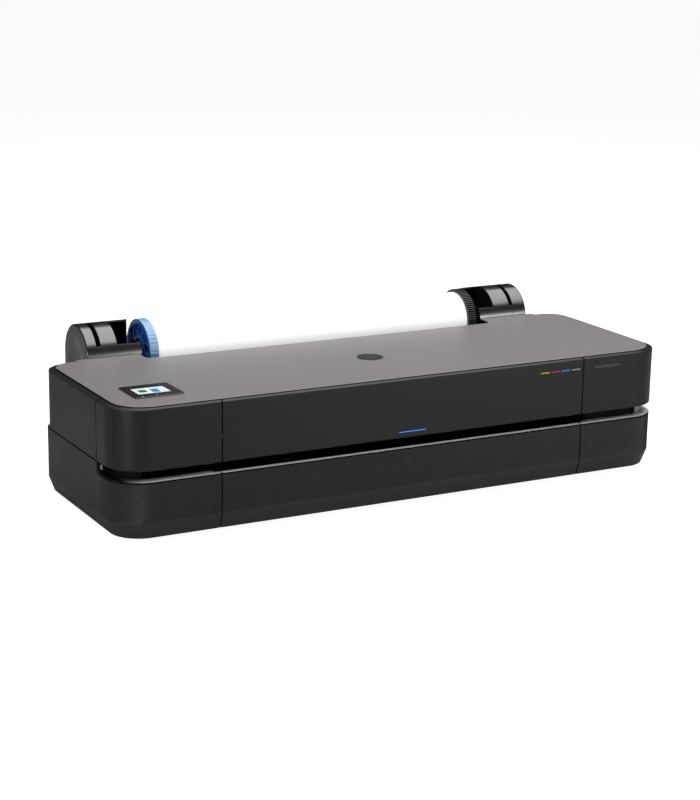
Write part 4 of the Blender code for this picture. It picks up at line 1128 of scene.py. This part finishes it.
def cheek_outline():
    """The end cheek from the side: an arch on straight legs, stepped back at the bottom front."""
    low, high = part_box("left_end_cheek")
    steps = 40
    radius = (high.y - low.y) / 2
    middle = high.y - radius
    step_z = FLOOR + 111.5 * MM
    front = low.y + 9.5 * MM
    points = [Vector((high.y, low.z))]
    for step in range(steps + 1):
        angle = math.pi * step / steps
        across, up = radius * math.cos(angle), radius * math.sin(angle)
        points.append(Vector((middle + across, ROLL_Z + up)))
    return points + [Vector((low.y, step_z)), Vector((front, step_z)), Vector((front, low.z))]


def dished(bm, side, face):
    """Sinks the cheek's face smoothly into an upright oval below the roll's axis."""
    middle, radius, depth = ROLL_Z - 22 * MM, 36 * MM, 3 * MM
    flattening, flat_share = 0.62, 0.55
    for vert in bm.verts:
        if abs(vert.co.x - face) > MESH_TOUCH:
            continue
        away = math.hypot(vert.co.y - ROLL_Y, (vert.co.z - middle) * flattening)
        vert.co.x -= side * depth * (1 - smoothstep(away, radius * flat_share, radius))


def refined(bm, face):
    """Splits the flat face of a mesh at the plane X = face into small triangles."""
    longest = 6 * MM

    def on_face(element):
        return all(abs(vert.co.x - face) < MESH_TOUCH for vert in element.verts)

    cap = [made for made in bm.faces if abs(made.calc_center_median().x - face) < MESH_TOUCH]
    bmesh.ops.triangulate(bm, faces=cap, ngon_method="BEAUTY")
    for _ in range(4):
        edges = [edge for edge in bm.edges if on_face(edge) and edge.calc_length() > longest]
        bmesh.ops.subdivide_edges(bm, edges=edges, cuts=1)
        cap = [made for made in bm.faces if len(made.verts) > 3 and on_face(made)]
        bmesh.ops.triangulate(bm, faces=cap, ngon_method="BEAUTY")


def make_cheeks():
    """The outer cheeks of the two supports, with rounded edges and a shallow dish."""
    for side, word in SIDES:
        name = f"{word}_end_cheek"
        low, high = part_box(name)
        outer, inner = (low.x, high.x) if side < 0 else (high.x, low.x)
        bm = rounded_slab(cheek_outline(), 0, abs(outer - inner), 2.5 * MM, 4)
        moved(bm, (inner, 0, 0), Matrix(((0, 0, side), (1, 0, 0), (0, 1, 0))).to_4x4())
        refined(bm, outer)
        dished(bm, side, outer)
        new_piece(f"{name}_moulded", bm, "base", "black_gloss", stands_for=(name,))


def hub_profile(face, side, radius, boss=1.5 * MM):
    """A flanged disc's section as (x, radius) points, from the paper's face outwards."""
    # Millimetres from the paper's face and from the rim; from the outer face and from the
    # rim; and from the outer face and from the axis.
    flange = ((0.0, -1.5), (0.6, -0.4), (1.4, 0.0))
    rim = (
        (-1.6, 0.0), (-0.6, -0.5), (0.0, -1.8), (0.0, -7.0), (-1.0, -8.0), (-7.0, -9.0),
        (-8.0, -10.0),
    )
    web = (
        (-8.0, 26.0), (-7.0, 25.2), (-1.0, 24.6), (-0.4, 24.0), (-0.4, 20.6), (-1.2, 20.0),
        (-6.0, 19.4), (-6.0, 12.6),
    )
    end = HUB_WIDTH + boss
    points = [(0.0, SHAFT_HOLE)]
    points += [(x * MM, radius + reach * MM) for x, reach in flange]
    points += [(HUB_WIDTH + x * MM, radius + reach * MM) for x, reach in rim]
    points += [(HUB_WIDTH + x * MM, reach * MM) for x, reach in web]
    points += [(end - 0.5 * MM, 12.0 * MM), (end, 11.4 * MM), (end, SHAFT_HOLE)]
    return [(face + side * x, reach) for x, reach in points]


def add_spokes(bm, face, side, radius):
    """Curved spokes between the hub's inner ring and its rim."""
    steps, sweep = 8, 0.55
    outer = radius - 7.6 * MM
    # A spoke's section: the share of its half width, and the depth below the hub's outer face.
    section = ((-1, 8.2), (-1, 2.0), (-0.6, 1.4), (0.6, 1.4), (1, 2.0), (1, 8.2))
    for index in range(SPOKES):
        start = 2 * math.pi * index / SPOKES
        rows = []
        for step in range(steps + 1):
            share = step / steps
            reach = SPOKE_INNER + (outer - SPOKE_INNER) * share
            angle = start + sweep * share * share
            along = Vector((-math.sin(angle), math.cos(angle)))
            out = Vector((math.cos(angle), math.sin(angle)))
            half = (1.1 + 0.5 * share) * MM
            corners = []
            for across, depth in section:
                spot = out * reach + along * half * across
                x = face + side * (HUB_WIDTH - depth * MM)
                corners.append(bm.verts.new((x, ROLL_Y + spot.x, ROLL_Z + spot.y)))
            rows.append(corners)
        loft(bm, rows)
        bm.faces.new(rows[0])
        bm.faces.new(rows[-1][::-1])


def add_plug(bm, face, side):
    """The plug that enters the roll's core."""
    radius, tip_radius = 25.8 * MM, 24 * MM
    root, taper, tip = (face - side * depth * MM for depth in (0.5, 15, 18))
    profile = [
        (root, SHAFT_HOLE), (root, radius), (taper, radius), (tip, tip_radius), (tip, SHAFT_HOLE),
    ]
    joined(bm, lathe(profile, 64))


def moulded_hub(profile, segments, wave, face, side, radius):
    """A hub turned from its section, with its spokes and its plug."""
    bm = lathe(profile, segments, wave)
    add_spokes(bm, face, side, radius)
    add_plug(bm, face, side)
    return bm


def from_axis(face):
    """How far a face's middle is from the roll's axis."""
    middle = face.calc_center_median()
    return math.hypot(middle.y - ROLL_Y, middle.z - ROLL_Z)


def make_hubs():
    """The fixed blue hub with its notched rim, and the toothed hub that slides."""
    low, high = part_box("blue_end_hub")
    radius = (high.z - low.z) / 2
    notches, notch_depth = 48, 0.9 * MM
    teeth, tooth_depth = 84, 3.4 * MM
    flange_gap, flange_depth = 0.2 * MM, 1.2 * MM

    def notched(index, row):
        return notch_depth * (index % 4 == 0) if 3 <= row <= 4 else 0.0

    def toothed(index, row):
        return tooth_depth * (index % 4 in (2, 3)) if 2 <= row <= 5 else 0.0

    def on_rim(face):
        return from_axis(face) > radius - 1.6 * MM and abs(face.normal.x) < 0.8

    # Tooth tips and the flange, painted a lighter grey as a painted highlight.
    def painted_highlight_faces(face):
        reach, x = from_axis(face), face.calc_center_median().x
        return reach > radius - 1 * MM or (reach > ROLL_RADIUS and x < ROLL_X[1] + flange_depth)

    face, side = ROLL_X[0] - HUB_ROOM, -1
    profile = hub_profile(face, side, radius)
    bm = moulded_hub(profile, notches * 4, notched, face, side, radius)
    # The rim's lighter blue is a painted highlight.
    new_piece("blue_hub_moulded", bm, "spindle", "blue_plastic", stands_for=("blue_end_hub",),
              accents=(("blue_rim_painted_highlight", on_rim),))
    face, side = ROLL_X[1] + HUB_ROOM, 1
    profile = hub_profile(face, side, radius, boss=0.0)
    profile.insert(1, (face, ROLL_RADIUS + flange_gap))
    bm = moulded_hub(profile, teeth * 4, toothed, face, side, radius)
    new_piece("adjustable_hub_moulded", bm, "end_hub", "black_gloss", "black_inner",
              stands_for=("adjustable_hub",), accents=(("hub_tips_painted_highlight", painted_highlight_faces),))


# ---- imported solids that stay

KEPT = {
    "black_gloss": (
        "left_roll_support", "right_roll_support", "printhead", "spindle_shaft",
    ),
    "black_textured": ("roll_housing",),
    "black_satin": ("rear_cover",),
    "black_inner": ("ink_station", "output_guide"),
    "mid_plastic": (
        "base_tray", "platen", "print_carriage", "cutter_slider", "service_station",
        "lid_inner_frame", "power_inlet", "left_spindle_bush", "right_spindle_bush",
    ),
    "zinc_steel": (
        "chassis_beam", "left_chassis_plate", "right_chassis_plate", "cutter_rail",
        "pinch_roller_frame", "carriage_motor", "feed_motor", "power_supply", "port_plate",
    ),
    "bright_steel": ("guide_rod", "motor_pulley", "idler_pulley"),
    "grey_rubber": ("feed_roller", "pinch_roller", "output_roller"),
    "black_rubber": (
        "timing_belt", "front_left_foot", "front_right_foot", "rear_left_foot", "rear_right_foot",
    ),
    "circuit_board": ("main_circuit_board",),
    "brown_card": ("roll_core",),
    "ink_grey": (
        "black_ink_cartridge", "yellow_ink_cartridge", "magenta_ink_cartridge",
        "cyan_ink_cartridge",
    ),
}


def finish_nodes():
    for look, names in KEPT.items():
        for name in names:
            finish_node(name, look)


# ---- stage

# The camera that fits the photograph: its place, its yaw, pitch and roll in degrees, and its
# focal length in millimetres.
CAMERA_PLACE = (-1.5488, -2.826, 0.9772)
CAMERA_TURN = (28.8447, -14.7213, 1.0572)
CAMERA_LENS = 87.713

# Each light's name, place, target, size in metres and power in watts.
LIGHTS = (
    ("overhead", (0.5, -0.1, 2.2), (0.5, -0.1, 0), (3.2, 3.2), 78),
    ("left_strip", (-2.4, -1.45, 0.5), (0, 0, 0.1), (0.35, 1.2), 17),
    ("left_fill", (-2.6, 0.6, 1.1), (0, 0, 0.1), (1.4, 1.2), 3),
    ("front_right", (1.6, -2.7, 0.45), (0, 0, 0.15), (1.6, 0.5), 15),
)

# The floor's brightness as the camera sees it, and the grey that its bounced light has.
FLOOR_GLOW = 0.95
FLOOR_BOUNCE = (0.45, 0.45, 0.45, 1)

# The room's brightness in front of and behind the machine, and where one turns to the other.
ROOM_LIGHT = (0.010, 0.050)
ROOM_TURN = (0.3, 0.95)


def camera():
    """The camera, level to within a degree, looking down at the front from its left."""
    yaw, pitch, roll = (math.radians(value) for value in CAMERA_TURN)
    level = Vector((math.sin(yaw), math.cos(yaw), 0)) * math.cos(pitch)
    ahead = level + Vector((0, 0, math.sin(pitch)))
    right = ahead.cross(Vector((0, 0, 1))).normalized()
    up = right.cross(ahead)
    right_rolled = right * math.cos(roll) + up * math.sin(roll)
    up_rolled = up * math.cos(roll) - right * math.sin(roll)
    data = bpy.data.cameras.new("camera")
    data.lens = CAMERA_LENS
    data.sensor_width = 36
    data.clip_end = 200
    made = added("camera", data)
    turn = Matrix((right_rolled, up_rolled, -ahead)).transposed().to_4x4()
    made.matrix_world = Matrix.Translation(CAMERA_PLACE) @ turn
    bpy.context.scene.camera = made


def area_light(name, location, target, size, power):
    data = bpy.data.lights.new(name, "AREA")
    data.shape = "RECTANGLE"
    data.size, data.size_y = size
    data.energy = power
    made = added(name, data)
    made.location = location
    way = Vector(target) - Vector(location)
    made.rotation_euler = way.to_track_quat("-Z", "Y").to_euler()


def floor():
    """A pale floor that looks nearly white to the camera but gives back less light."""
    bm = bmesh.new()
    bmesh.ops.create_grid(bm, x_segments=1, y_segments=1, size=90)
    mesh = bpy.data.meshes.new("floor")
    bm.to_mesh(mesh)
    bm.free()
    g = Graph("floor")
    g.tree.nodes.remove(g.shader)
    tone = g.ranged(g.noise(0.8))
    seen = g.add("ShaderNodeBsdfDiffuse")
    g.link(g.mix(tone, (0.50, 0.50, 0.50), (0.52, 0.52, 0.52)), seen.inputs["Color"])
    glow = g.add("ShaderNodeEmission")
    glow.inputs["Strength"].default_value = FLOOR_GLOW
    both = g.add("ShaderNodeAddShader")
    g.link(seen.outputs[0], both.inputs[0])
    g.link(glow.outputs[0], both.inputs[1])
    bounce = g.add("ShaderNodeBsdfDiffuse")
    bounce.inputs["Color"].default_value = FLOOR_BOUNCE
    choice = g.add("ShaderNodeMixShader")
    g.link(g.add("ShaderNodeLightPath").outputs["Is Camera Ray"], choice.inputs[0])
    g.link(bounce.outputs[0], choice.inputs[1])
    g.link(both.outputs[0], choice.inputs[2])
    g.link(choice.outputs[0], g.tree.nodes["Material Output"].inputs["Surface"])
    mesh.materials.append(g.material)
    added("floor", mesh)


def world():
    """A dim room, a little brighter behind the machine; what the camera sees of it is white."""
    made = bpy.data.worlds.new("studio")
    made.use_nodes = True
    bpy.context.scene.world = made
    tree = made.node_tree
    place = tree.nodes.new("ShaderNodeTexCoord")
    split = tree.nodes.new("ShaderNodeSeparateXYZ")
    tree.links.new(place.outputs["Generated"], split.inputs[0])
    behind = tree.nodes.new("ShaderNodeMapRange")
    behind.interpolation_type = "SMOOTHSTEP"
    tree.links.new(split.outputs["Y"], behind.inputs["Value"])
    for key, value in zip(("From Min", "From Max", "To Min", "To Max"), ROOM_TURN + ROOM_LIGHT):
        behind.inputs[key].default_value = value
    seen = tree.nodes.new("ShaderNodeMath")
    seen.operation = "MAXIMUM"
    tree.links.new(behind.outputs["Result"], seen.inputs[0])
    tree.links.new(tree.nodes.new("ShaderNodeLightPath").outputs["Is Camera Ray"], seen.inputs[1])
    background = tree.nodes["Background"]
    background.inputs["Color"].default_value = (1, 1, 1, 1)
    tree.links.new(seen.outputs[0], background.inputs["Strength"])


def make_stage():
    camera()
    floor()
    world()
    for light in LIGHTS:
        area_light(*light)
    bpy.context.scene.view_settings.view_transform = "Standard"


# ---- build


def main():
    make_materials()
    finish_nodes()
    make_lower_half()
    make_upper_half()
    make_top_panel()
    make_control_panel()
    make_emblem()
    make_front_marks()
    make_rear_details()
    make_slot_details()
    make_roll()
    make_hubs()
    make_cheeks()
    make_stage()


main()
